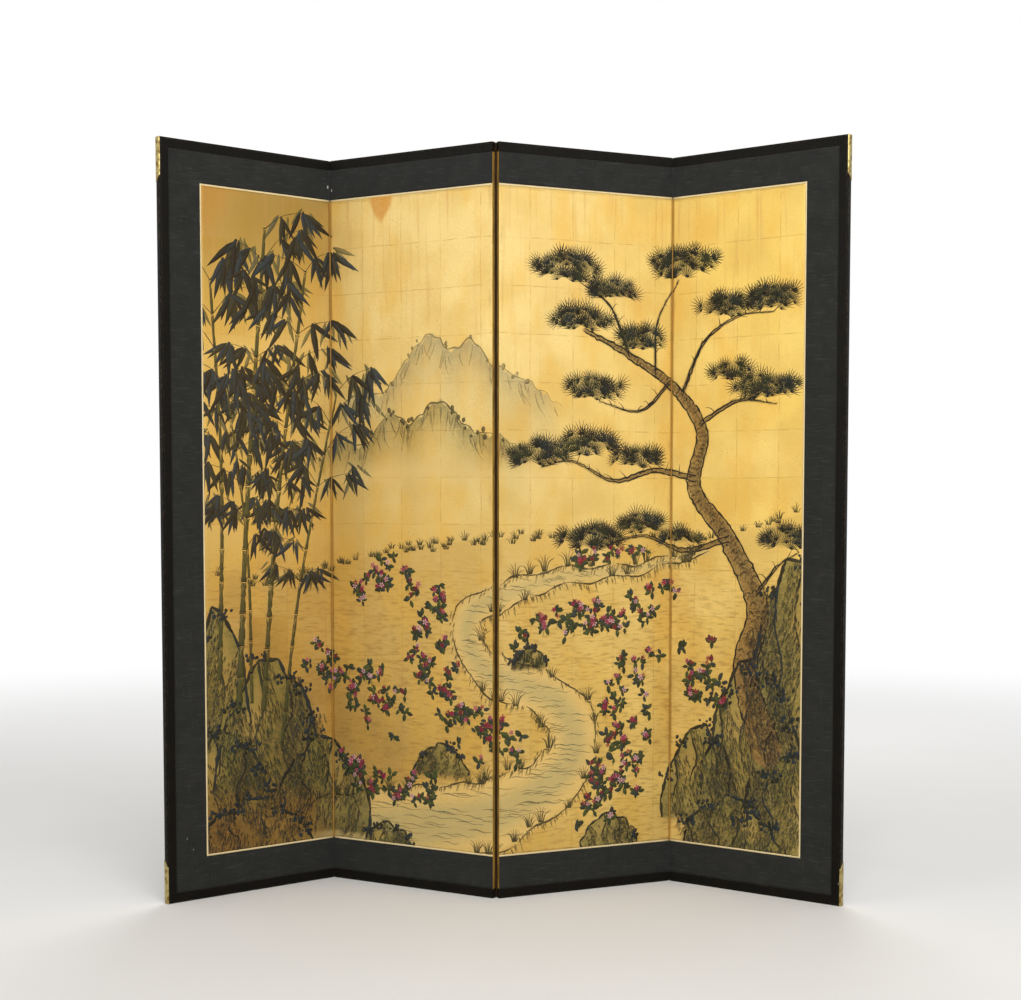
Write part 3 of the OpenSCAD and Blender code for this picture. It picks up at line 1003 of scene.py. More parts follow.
@dataclass
class LacquerFrame:
    """The lacquered bars of one leaf: two rails, and a stile where the leaf ends the screen.

    A bar is one section swept along its length, rounded at its corners, as lacquer builds up there.
    """

    leaf: Leaf
    stiles: dict[Edge, str]
    bevel_w: float = 4 * MM
    bevel_d: float = 2 * MM
    arris_w: float = 0.8 * MM
    bevel_r: float = 1.4 * MM
    arris_r: float = 0.5 * MM
    mitre_gap: float = 0.3 * MM
    ring_step: float = 90 * MM
    sharp: float = 32
    finish: Finish = BlackLacquer(scuffs=(Scuff(4, 0.4445, 0.052, 2.2 * MM, "#8d8676"),))

    def build(self) -> None:
        """Makes the leaf's bars."""
        leaf = self.leaf
        rail = leaf.extent("bottom_rail")
        face = rail.z1 - rail.z0
        for end in End:
            bar = self.bar(face, rail.u0, rail.u1, Edge.LEFT in self.stiles, Edge.RIGHT in self.stiles)
            node, own = f"{end.value}_rail_{leaf.number}", get_points(bar)[:, [0, 2, 1]]
            set_solid(f"lacquered_{node}", bar, own, leaf, (Edge.LEFT, end), Slot.LACQUER, node, self.sharp)
        for edge, node in self.stiles.items():
            stile = leaf.extent(node)
            start = stile.u0 if edge is Edge.LEFT else leaf.width - stile.u1
            bar = self.bar(face, stile.z0, stile.z1, True, True)
            own, spot = get_points(bar)[:, [1, 2, 0]] + (start, 0, 0), (edge, End.BOTTOM)
            set_solid(f"lacquered_{node}", bar, own, leaf, spot, Slot.LACQUER, node, self.sharp)

    def bar(self, face: float, start: float, end: float, mitre_start: bool, mitre_end: bool) -> Mesh:
        """Makes a bar along x, mitred or square at each end.

        Args:
            face: The width of its face.
            start: Where it starts.
            end: Where it ends.
            mitre_start: Whether it is mitred at its start.
            mitre_end: Whether at its end.

        Returns:
            The bar's mesh.
        """
        deep, b, a = self.leaf.depth, self.bevel_r, self.arris_r
        outline, arris = rounded([
            (0, self.bevel_d, b), (self.bevel_w, 0, b), (face - self.arris_w, 0, a), (face, self.arris_w, a),
            (face, deep - self.arris_w, a), (face - self.arris_w, deep, a), (self.bevel_w, deep, b),
            (0, deep - self.bevel_d, b)])
        first = start + (self.mitre_gap / 2 if mitre_start else 0)
        last = end - (self.mitre_gap / 2 if mitre_end else 0)
        count = max(2, round((last - first) / self.ring_step))
        rings = np.linspace(first + 1.2 * face, last - 1.2 * face, count)
        slant = [float(mitre_start), *[0.0] * len(rings), -float(mitre_end)]
        return sweep_bar(outline, [first, *rings, last], slant, outline[:, 0],
                         self.finish.material(self.leaf), arris=arris)


@dataclass
class CornerGuards:
    """The two brass guards of an outer stile, and their tacks."""

    leaf: Leaf
    edge: Edge
    sheet_t: float = 0.8 * MM
    wrap: float = 2.2 * MM
    bevel_w: float = 4 * MM
    bevel_d: float = 2 * MM
    slant: float = 16 * MM
    slant_share: float = 0.8
    fold_r: float = 0.3 * MM
    filed_w: float = 0.12 * MM
    tack_r: float = 2.1 * MM
    tack_h: float = 0.6 * MM
    shank_r: float = 0.8 * MM
    shank_l: float = 9.8 * MM
    tack_places: Place = (14.5 * MM, 70.5 * MM)
    finish: Finish = AgedBrass()

    def build(self) -> None:
        """Makes the guards and the tacks."""
        for end in End:
            node = f"guard_{end.value}_{self.edge.value}"
            box = self.leaf.extent(node)
            inset = box.z0 if end is End.BOTTOM else self.leaf.height - box.z1
            mesh = self.guard(box.z1 - box.z0)
            own = get_points(mesh)[:, [1, 2, 0]] + (self.tack_h, 0, inset)
            piece = set_solid(f"brass_{node}", mesh, own, self.leaf, (self.edge, end), Slot.BRASS, node, 35)
            piece.modifiers.new("filed edges", "BEVEL").width = self.filed_w
        self.set_tacks()

    def guard(self, height: float) -> Mesh:
        """Makes a guard along x, with y from its outer face inwards and z from front to back.

        Args:
            height: How tall it is.

        Returns:
            The guard's mesh.
        """
        deep, thick, r = self.leaf.depth, self.sheet_t, self.fold_r
        slope = math.hypot(self.bevel_w, self.bevel_d)
        edge_y = self.bevel_d + thick * (self.bevel_d - slope) / self.bevel_w
        wrap_y = self.bevel_d * (1 - self.wrap / self.bevel_w)
        out_x = thick + self.wrap - thick * self.bevel_d / slope
        out_y = wrap_y - thick * self.bevel_w / slope
        turn = self.slant_share * deep
        outline, _ = rounded([
            (0, edge_y, 2 * r), (out_x, out_y, r / 2), (thick + self.wrap, wrap_y, r / 2),
            (thick, self.bevel_d, r), (thick, turn, 0), (thick, deep - self.bevel_d, r),
            (thick + self.wrap, deep - wrap_y, r / 2), (out_x, deep - out_y, r / 2),
            (0, deep - edge_y, 2 * r), (0, turn, 0)])
        shift = self.slant * np.maximum(0, 1 - outline[:, 1] / turn)
        return sweep_bar(outline, [0, height - 1.3 * self.slant, height], [0, 0, -1], shift,
                         self.finish.material(self.leaf))

    def tack(self, sides: int = 24) -> Mesh:
        """Makes one round-headed tack along z, with the flat underside of its head at 0.

        Args:
            sides: The sides of its round section.

        Returns:
            The tack's mesh.
        """
        turns = [math.radians(a) for a in (0, 15, 35, 55, 75)]
        head = [(self.tack_r * math.cos(a), self.tack_h * math.sin(a)) for a in turns]
        profile = [(self.shank_r * 0.35, -self.shank_l), (self.shank_r, -self.shank_l + 2 * self.shank_r),
                   (self.shank_r, 0), *head]
        points = [(r * math.cos(a), r * math.sin(a), h) for r, h in profile
                  for a in (2 * math.pi * k / sides for k in range(sides))]
        faces = tube_faces(len(profile), sides)
        for first, h in ((0, -self.shank_l), (len(points) - sides, self.tack_h)):
            faces += [(first + k, first + (k + 1) % sides, len(points)) for k in range(sides)]
            points.append((0, 0, h))
        return plain_mesh("tack", points, faces=faces)

    def set_tacks(self) -> None:
        """Sets all tacks of the stile, each turned so that its head faces outwards."""
        tree = ShapeTree("tacks", Tilt="NodeSocketFloat")
        turn = add(tree.tree, "ShaderNodeCombineXYZ", {"Y": tree.inputs["Tilt"]})
        tree.end(tree.add("InstanceOnPoints", {
            "Points": tree.base, "Instance": tree.stock, "Rotation": turn}))
        places = [(self.tack_h, self.leaf.depth / 2, z if end is End.BOTTOM else self.leaf.height - z)
                  for end in End for z in self.tack_places]
        mesh = tree.run(line_mesh(np.array(places)), self.tack(), Tilt=-math.pi / 2,
                        Material=self.finish.material(self.leaf))
        name, spot = f"tacks_{self.edge.value}", (self.edge, End.BOTTOM)
        set_solid(f"brass_{name}", mesh, get_points(mesh), self.leaf, spot, Slot.BRASS, f"guard_{name}", 40)


def steps(low: float, high: float, cell: float) -> np.ndarray:
    """Gives evenly spaced numbers from low to high, no more than cell apart."""
    return np.linspace(low, high, max(1, math.ceil((high - low) / cell - 1e-6)) + 1)


def net_lines(low: float, high: float, hole: Sequence[float], cell: float) -> np.ndarray:
    """Gives the lines of a net from low to high, with lines at both sides of a hole."""
    marks = sorted({round(x, 7) for x in (low, *hole, high)}) if hole else (low, high)
    return np.unique(np.concatenate([steps(a, b, cell) for a, b in zip(marks, marks[1:])]))


def cockle(leaf: Leaf, own: np.ndarray) -> np.ndarray:
    """Works out how far the papers lift, in long soft waves.

    Args:
        leaf: The leaf.
        own: Places on it.

    Returns:
        The lift at each, between 0 and 1.
    """
    u, z, phase = own[:, 0], own[:, 2], 1.7 * leaf.number
    waves = (np.sin(u * 23 + z * 7 + phase) + 0.8 * np.sin(u * 11 - z * 29 + 2 * phase)
             + 0.5 * np.sin(u * 61 + z * 13 + 3 * phase) + 0.4 * np.sin(z * 83 - u * 17 + phase))
    return 0.5 + waves / 5.4


@dataclass(frozen=True)
class Sheet:
    """A thin sheet pasted flat on a leaf. Its part and its hole are named without the leaf's number."""

    name: str
    part: str
    slot: Slot
    finish: Finish
    cell: float
    lift: float
    hole: str = ""

    def build(self, leaf: Leaf, colour: Callable[[Mesh, np.ndarray], None] | None = None) -> None:
        """Makes the sheet as a net of cells, with its cockles and a colour if it is given one.

        Args:
            leaf: The leaf.
            colour: What writes its colour, given its mesh and places.
        """
        box = leaf.extent(self.part)
        hole = leaf.extent(self.hole) if self.hole else None
        us = net_lines(box.u0, box.u1, (hole.u0, hole.u1) if hole else (), self.cell)
        zs = net_lines(box.z0, box.z1, (hole.z0, hole.z1) if hole else (), self.cell)
        to_front = box.v0 < leaf.depth / 2
        mesh = self.net(us, zs, hole, to_front)
        own = get_points(mesh)
        rise = self.lift * cockle(leaf, own)
        own[:, 1] = box.v0 - rise if to_front else box.v1 + rise
        if colour:
            colour(mesh, own)
        set_sheet(self.name, mesh, own, leaf, box, self.slot, self.finish, box.v1 - box.v0, [self.part])

    @staticmethod
    def net(us: np.ndarray, zs: np.ndarray, hole: Extent | None, to_front: bool) -> Mesh:
        """Makes a flat net of cells at v = 0, in a leaf's own place.

        Args:
            us: The net's lines across the leaf.
            zs: Its lines up the leaf.
            hole: The box of the hole in it, if it has one.
            to_front: Whether the faces look out of the leaf's front rather than its back.

        Returns:
            The net, with no loose corners.
        """
        u, z = np.meshgrid(us, zs)
        points = np.column_stack([u.ravel(), np.zeros(u.size), z.ravel()])
        column, row = (m.ravel() for m in np.meshgrid(np.arange(len(us) - 1), np.arange(len(zs) - 1)))
        corner = row * len(us) + column
        if hole:
            mid_u, mid_z = (us[column] + us[column + 1]) / 2, (zs[row] + zs[row + 1]) / 2
            corner = corner[(mid_u < hole.u0) | (mid_u > hole.u1) | (mid_z < hole.z0) | (mid_z > hole.z1)]
        cells = np.column_stack([corner, corner + 1, corner + len(us) + 1, corner + len(us)])
        if not to_front:
            cells = cells[:, ::-1]
        used, places = np.unique(cells, return_inverse=True)
        return plain_mesh("net", points[used].tolist(), faces=places.reshape(cells.shape).tolist())


def set_sheet(name: str, mesh: Mesh, own: np.ndarray, leaf: Leaf, box: Extent, slot: Slot, finish: Finish,
              thickness: float, parts: Sequence[str] = ()) -> None:
    """Sets a flat sheet of faces on its leaf as a closed solid, with the map that it is baked through.

    Args:
        name: The piece's name, without the leaf's number.
        mesh: Its mesh.
        own: The places of its vertices on the leaf.
        leaf: The leaf.
        box: The box that the bake's map spans.
        slot: Its material slot.
        finish: What it is made of.
        thickness: How thick it is, inwards from its faces.
        parts: The nodes that it stands for, without the leaf's number.
    """
    leaf.put(mesh, own)
    corners = np.zeros(len(mesh.loops), np.int32)
    mesh.loops.foreach_get("vertex_index", corners)
    bake_map = mesh.uv_layers.new(name="OFBake", do_init=False)
    bake_map.uv.foreach_set("vector", box.shares(own)[corners].astype(np.float32).ravel())
    mesh.materials.clear()
    mesh.materials.append(finish.material(leaf))
    mesh.shade_smooth()
    piece = set_piece(f"{name}_{leaf.number}", mesh, leaf, slot, [f"{part}_{leaf.number}" for part in parts])
    solid = piece.modifiers.new("thickness", "SOLIDIFY")
    solid.thickness = thickness
    solid.offset = -1


SCUFFS = (
    Scuff(1, 0.446, 1.668, 4 * MM, "#b9b1a0"), Scuff(2, 0.004, 1.660, 3 * MM, "#a9a294"),
    Scuff(1, 0.052, 0.145, 2.5 * MM, "#8d877a"), Scuff(1, 0.068, 0.118, 2 * MM, "#8d877a"),
    Scuff(4, 0.060, 1.600, 2.5 * MM, "#15171a"))
# The papers and the cloth under and around the picture
SHEETS = (
    Sheet("cloth_border", "border_cloth", Slot.CLOTH, BorderCloth(scuffs=SCUFFS), 6 * MM, 0.12 * MM,
          "cream_fillet"),
    Sheet("paper_fillet", "cream_fillet", Slot.CREAM,
          Paper("cream_fillet_paper", "#eedaac", "#dcc48c", "#f6e6c0"), 24 * MM, 0.12 * MM, "painting"),
    Sheet("pasted_back", "back_paper", Slot.BACK, BackPaper(), 12 * MM, 0.2 * MM))
HINGE_PAPER = Paper("browned_hinge_paper", "#3a2409", "#241503", "#4a3214")
CORE_WOOD = CutWood("planed_core_wood", "#d9bd8c", "#b48f5c")
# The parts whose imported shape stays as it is
KEPT = {
    "core_frame": CORE_WOOD,
    "core_slats": CORE_WOOD,
    "frame_pegs": CutWood("split_bamboo", "#d8c486", "#b79c5b", 1 * MM),
    "paper_linings": Paper("pasted_lining_paper", "#e2d7bd", "#cbbb96", "#efe6d0"),
    "edge_paper": GoldEdgePaper()}


def dress_kept(leaf: Leaf) -> None:
    """Gives a leaf's core, its papers, its pegs and its hinge strips their finishes.

    Args:
        leaf: The leaf.
    """
    for node in BODIES[leaf.body]:
        finish = HINGE_PAPER if "hinge" in node else KEPT.get(node[:-2])
        if finish:
            materials = frame["nodes"][node].data.materials
            materials.clear()
            materials.append(finish.material(leaf))
            LOG.info("%s: dressed in %s", node, finish.name)


@dataclass
class FoldWeb:
    """The hinge paper that shows in a fold, curved about the folding line from one leaf to the next."""

    before: Leaf
    after: Leaf
    paper_t: float = 0.3 * MM
    end_gap: float = 1 * MM
    ring_step: float = 60 * MM
    arc_steps: int = 10

    def build(self) -> None:
        """Makes the web."""
        number = self.before.number
        joint = next(j for j in frame["record"]["behaviour"]["joints"] if j["name"] == f"fold_{number}")
        line = np.array(joint["pos_m"][:2])
        depth_in = float((line - self.before.origin) @ self.before.inward)
        at_front = depth_in < self.before.depth / 2
        lining, box = self.before.extent("paper_linings"), self.before.extent("painting")
        radius = abs((lining.v0 if at_front else lining.v1) - depth_in)
        sides = [np.array(leaf.inward) * (1 if at_front else -1) for leaf in (self.before, self.after)]
        mesh = self.arc(line, radius, *[math.atan2(side[1], side[0]) for side in sides])
        finish = FacedHingePaper(gold_z=(box.z0, box.z1)) if at_front else HINGE_PAPER
        mesh.materials.append(finish.material(self.before))
        piece = link(f"fold_{number}_web", mesh)
        start, end = (line + side * radius for side in sides)
        self.before.body
        self.after.body
        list(start)
        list(end)
        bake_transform(piece)
        LOG.info("%s: %d faces at the end of %s", piece.name, len(mesh.polygons), self.before.body)

    def arc(self, line: np.ndarray, radius: float, first: float, last: float) -> Mesh:
        """Makes the closed web over the height of the leaves.

        Args:
            line: The folding line's place.
            radius: Its inner radius about that line.
            first: The direction from the line to the edge of the leaf before it.
            last: The direction to the edge of the leaf after it.

        Returns:
            The web's mesh.
        """
        sweep = (last - first + math.pi) % (2 * math.pi) - math.pi
        turns = first + sweep * np.linspace(0, 1, self.arc_steps + 1)
        ring = [(line[0] + r * math.cos(a), line[1] + r * math.sin(a))
                for r, way in ((radius, turns), (radius + self.paper_t, turns[::-1])) for a in way]
        heights = steps(self.end_gap, self.before.height - self.end_gap, self.ring_step)
        count = len(ring)
        faces = tube_faces(len(heights), count)
        for base in (0, (len(heights) - 1) * count):
            faces += [(base + k, base + k + 1, base + count - 2 - k, base + count - 1 - k)
                      for k in range(self.arc_steps)]
        return face_outwards(plain_mesh("web", [(*p, float(z)) for z in heights for p in ring], faces=faces))


def smooth_line(points: Points, step: float) -> np.ndarray:
    """Runs a Catmull-Rom curve through two or more points, and gives evenly spaced points on it.

    Args:
        points: The points.
        step: How far apart the new ones may be.

    Returns:
        The new points, one row each.
    """
    given = np.array(points, float)
    ends = np.vstack([2 * given[0] - given[1], given, 2 * given[-1] - given[-2]])
    found = []
    for a, b, c, d in zip(ends, ends[1:], ends[2:], ends[3:]):
        k = np.linspace(0, 1, 12, endpoint=False)[:, None]
        found.append(0.5 * (2 * b + (c - a) * k + (2 * a - 5 * b + 4 * c - d) * k ** 2
                            + (3 * b - a - 3 * c + d) * k ** 3))
    fine = np.vstack([*found, given[-1:]])
    run = np.concatenate([[0], np.cumsum(np.linalg.norm(np.diff(fine, axis=0), axis=1))])
    at = np.linspace(0, run[-1], max(3, math.ceil(run[-1] / step) + 1))
    return np.column_stack([np.interp(at, run, fine[:, 0]), np.interp(at, run, fine[:, 1])])


def spread(values: Halves, share: np.ndarray) -> np.ndarray:
    """Gives a value for each place along a line, from 0 to 1, out of values spread evenly along it."""
    return np.interp(share, np.linspace(0, 1, len(values)), values)


def sides_of(line: np.ndarray) -> tuple[np.ndarray, np.ndarray]:
    """Finds a line's directions at each point, one metre long.

    Args:
        line: The line's points.

    Returns:
        The direction along it and the one to its left.
    """
    run = np.gradient(line, axis=0)
    run /= np.linalg.norm(run, axis=1)[:, None]
    return run, np.column_stack([-run[:, 1], run[:, 0]])


def line_distance(at: np.ndarray, line: np.ndarray) -> tuple[np.ndarray, np.ndarray]:
    """Measures how far places are from a line.

    Args:
        at: The places.
        line: The line's points.

    Returns:
        Each place's distance, and its nearest point's share of the line's length.
    """
    best = np.full(len(at), 1e9)
    share = np.zeros(len(at))
    lengths = np.linalg.norm(np.diff(line, axis=0), axis=1)
    run = np.concatenate([[0], np.cumsum(lengths)])
    for i, (a, b) in enumerate(zip(line, line[1:])):
        k = np.clip((at - a) @ (b - a) / max(lengths[i] ** 2, 1e-12), 0, 1)
        off = np.linalg.norm(at - a - k[:, None] * (b - a), axis=1)
        nearer = off < best
        best[nearer] = off[nearer]
        share[nearer] = (run[i] + k[nearer] * lengths[i]) / run[-1]
    return best, share


def inside(at: np.ndarray, outline: np.ndarray) -> np.ndarray:
    """Says which places are inside a closed outline.

    Args:
        at: The places.
        outline: The outline's points.

    Returns:
        True for each place inside.
    """
    odd = np.zeros(len(at), bool)
    for a, b in zip(outline, np.roll(outline, -1, axis=0)):
        if a[1] != b[1]:
            crosses = (at[:, 1] > a[1]) != (at[:, 1] > b[1])
            odd ^= crosses & (at[:, 0] < a[0] + (at[:, 1] - a[1]) * (b[0] - a[0]) / (b[1] - a[1]))
    return odd


@dataclass
class Wash:
    """A soft area of thin colour: inside an outline, along a line or below a ridge.

    Its colour has its full strength inside, and fades past its edge or, below a ridge, downwards.
    """

    colour: str
    strength: float
    fade: float
    outline: Points | None = None
    line: np.ndarray | None = None
    half: Halves = (0.01,)
    ridge: np.ndarray | None = None

    def cover(self, at: np.ndarray) -> np.ndarray:
        """Works out how well the wash covers.

        Args:
            at: Places in the picture.

        Returns:
            The wash's share of the colour at each, from 0 to 1.
        """
        if self.ridge is not None:
            depth = np.interp(at[:, 0], self.ridge[:, 0], self.ridge[:, 1], left=-9, right=-9) - at[:, 1]
            ends = np.minimum(at[:, 0] - self.ridge[0, 0], self.ridge[-1, 0] - at[:, 0])
            share = np.exp(-np.maximum(depth, 0) / self.fade) * np.clip(depth / 0.004, 0, 1)
            return self.strength * share * np.clip(ends / 0.06, 0, 1)
        if self.line is not None:
            off, share = line_distance(at, self.line)
            past = off - spread(self.half, share)
        else:
            outline = np.array(self.outline)
            off, _ = line_distance(at, np.vstack([outline, outline[:1]]))
            past = np.where(inside(at, outline), -off, off)
        share = np.clip(0.5 - past / self.fade, 0, 1)
        return self.strength * share * share * (3 - 2 * share)


class Shape(Enum):
    """The small shapes that are painted many times: places and half widths along one blade of each."""

    BAMBOO_LEAF = ((0, .02), (.18, .075), (.45, .085), (.75, .05), (1, .004))
    BROAD_LEAF = ((0, .03), (.2, .2), (.5, .27), (.78, .18), (1, .01))
    NEEDLES = ((0, .02), (.5, .03), (1, .006))
    PETALS = ((.1, .05), (.4, .2), (.75, .26), (1, .12))
    DOT = ((0, .12), (.2, .34), (.5, .42), (.8, .32), (1, .1))

    def mesh(self) -> Mesh:
        """Makes the shape flat, from its root at the origin along x.

        Returns:
            Its mesh, one metre long.
        """
        # Direction in degrees and length of each blade
        blades = {
            Shape.NEEDLES: [(18 * k - 72, 0.72 + 0.28 * math.sin(math.pi * (k + 0.5) / 9)) for k in range(9)],
            Shape.PETALS: [(72 * k + 8, 0.5) for k in range(5)]}.get(self, [(0, 1)])
        points, faces, shade = [], [], []
        for turn, reach in blades:
            c, s = math.cos(math.radians(turn)), math.sin(math.radians(turn))
            first = len(points)
            for x, half in self.value:
                points += [(reach * (x * c - y * s), reach * (x * s + y * c), 0) for y in (-half, half)]
                shade += [max(0.0, 1 - 1.6 * x) if self is Shape.PETALS else 0.0] * 2
            faces += [(i, i + 2, i + 3, i + 1) for i in range(first, len(points) - 2, 2)]
        return set_floats(plain_mesh(self.name.lower(), points, faces=faces), shade=shade)


@dataclass
class Stroke:
    """One brush stroke along a smooth line, with its half widths spread evenly along it."""

    points: Points
    half: Halves
    colour: str
    cover: float
    dry: float
    wobble: float


@dataclass
class Dab:
    """One small painted shape: its root, direction in radians, length and colour."""

    shape: Shape
    at: Place
    turn: float
    size: float
    colour: str
    cover: float


class Layer(Enum):
    """The layers of painted marks, from the lowest up, with the lowest height of each over the sheet."""

    LINES = ("ink_lines", 0.04 * MM)
    FOLIAGE = ("painted_foliage", 0.12 * MM)
    BLOSSOM = ("painted_blossom", 0.2 * MM)


class Motif:
    """A motif of the picture: its washes, and its strokes and dabs by layer. Places are in metres (s, t)."""

    seed: int = 0
    soot: tuple[str, ...] = ("#17150f", "#211e15", "#2c2a1b", "#1d2527")
    greens: tuple[str, ...] = ("#2a2917", "#3d3c1e", "#20251f")

    def __init__(self) -> None:
        """Paints the motif."""
        self.rng = np.random.default_rng(self.seed)
        self.washes: list[Wash] = []
        self.strokes: dict[Layer, list[Stroke]] = {layer: [] for layer in Layer}
        self.dabs: dict[Layer, list[Dab]] = {layer: [] for layer in Layer}
        self.paint()

    def paint(self) -> None:
        """Adds the motif's washes and marks."""
        raise NotImplementedError

    def vary(self, low: float, high: float) -> float:
        """Draws a number from low to high."""
        return self.rng.uniform(low, high)

    def count(self, low: int, high: int) -> int:
        """Draws a whole number from low to one under high."""
        return int(self.rng.integers(low, high))

    def pick(self, choices: Sequence[str]) -> str:
        """Picks one of several colours."""
        return choices[self.count(0, len(choices))]

    def wash(self, colour: str, strength: float, fade: float, **where: object) -> None:
        """Adds one wash, with where it is as named in Wash."""
        self.washes.append(Wash(colour, strength, fade, **where))

    def stroke(self, points: Points, half: Halves, colour: str, cover: float = 1.0, dry: float = 0.0,
               wobble: float = 0.0, layer: Layer = Layer.LINES) -> None:
        """Adds one stroke, with its half widths and wobble in millimetres."""
        halves = tuple(h * MM for h in half)
        self.strokes[layer].append(Stroke(points, halves, colour, cover, dry, wobble * MM))

    def dab(self, shape: Shape, at: Place, turn: float, size: float, colour: str,
            layer: Layer = Layer.FOLIAGE, cover: float = 1.0) -> None:
        """Adds one dab, with its direction in degrees and its length in millimetres."""
        self.dabs[layer].append(Dab(shape, (at[0], at[1]), math.radians(turn), size * MM, colour, cover))

    def near(self, at: Place, spread_s: float, spread_t: float) -> Place:
        """Gives a random place near another one."""
        return at[0] + spread_s * self.vary(-1, 1), at[1] + spread_t * self.vary(-1, 1)

    def grass(self, at: Place, reach: float, blades: int = 8) -> None:
        """Adds a tuft of grass whose blades bend outwards.

        Args:
            at: Its root.
            reach: How tall it is.
            blades: How many it has.
        """
        for k in range(blades):
            lean = (k + 0.5) / blades * 2 - 1 + 0.15 * self.vary(-1, 1)
            tall = reach * (1 - 0.45 * abs(lean)) * self.vary(0.8, 1.1)
            s, t = at[0] + 0.006 * lean, at[1]
            blade = [(s, t), (s + 0.25 * lean * tall, t + 0.62 * tall),
                     (s + 0.75 * lean * tall, t + 0.86 * tall)]
            self.stroke(blade, (1.1, 0.9, 0.2), self.pick(self.greens), 0.92, layer=Layer.FOLIAGE)


class Hills(Motif):
    """Layered hills far off, which fade downwards into mist."""

    seed = 11
    far: Points = [(0.35, 1.02), (0.43, 1.09), (0.49, 1.07), (0.57, 1.16), (0.63, 1.205), (0.68, 1.165),
                   (0.74, 1.185), (0.80, 1.12), (0.87, 1.09), (0.96, 1.03)]
    closer: Points = [(0.28, 0.90), (0.37, 0.965), (0.44, 0.95), (0.51, 1.025), (0.57, 1.0), (0.65, 1.05),
                      (0.73, 0.985), (0.80, 0.965), (0.88, 0.91)]
    # Points along each band of mist, and how strong it is
    mist: tuple[tuple[Points, float], ...] = (
        ([(0.30, 0.86), (0.60, 0.89), (0.95, 0.87)], 0.5), ([(0.02, 1.16), (0.3, 1.2)], 0.3))

    def paint(self) -> None:
        """Paints both ridges, their folds and the trees on them, and the mist."""
        self.ridge(self.far, "#83816a", 0.6, 0.075, "#5c583c", 0.6, 46)
        self.ridge(self.closer, "#5d5c36", 0.7, 0.065, "#35321f", 0.8, 60)
        for points, strength in self.mist:
            self.wash("#edcf88", strength, 0.07, line=smooth_line(points, 0.05), half=(0.0, 0.02, 0.014, 0.0))

    def ridge(self, points: Points, wash: str, strength: float, fade: float, ink: str, cover: float,
              folds: int) -> None:
        """Paints one ridge: a wash below it, its outline, folds that fall from it and trees.

        Args:
            points: Points along the ridge.
            wash: The wash's colour.
            strength: How strong the wash is.
            fade: How far down it fades.
            ink: The colour of the marks.
            cover: How well they cover.
            folds: How many folds there are.
        """
        line = smooth_line(points, 0.004)
        line[:, 1] += 0.004 * np.sin(line[:, 0] * 310) + 0.003 * np.sin(line[:, 0] * 173 + 1)
        self.wash(wash, strength, fade, ridge=line)
        self.stroke(line[::4], (0.4, 1.6, 0.9, 2.0, 1.2, 0.4), ink, cover, 0.3)
        for _ in range(folds):
            s, t = line[self.count(8, len(line) - 8)]
            drop = self.vary(0.02, 0.055)
            side = self.vary(-0.5, 0.6) * drop
            t -= self.vary(0.003, 0.02)
            fold = [(s, t), (s + 0.3 * side, t - 0.5 * drop), (s + side, t - drop)]
            self.stroke(fold, (0.5, 2.2, 0.6), ink, cover * 0.75, 0.55)
        for _ in range(folds // 2):
            s, t = line[self.count(8, len(line) - 8)]
            self.dab(Shape.DOT, self.near((s, t - 0.004), 0.01, 0.006), self.vary(60, 120),
                     self.vary(7, 13), ink, Layer.LINES, cover)


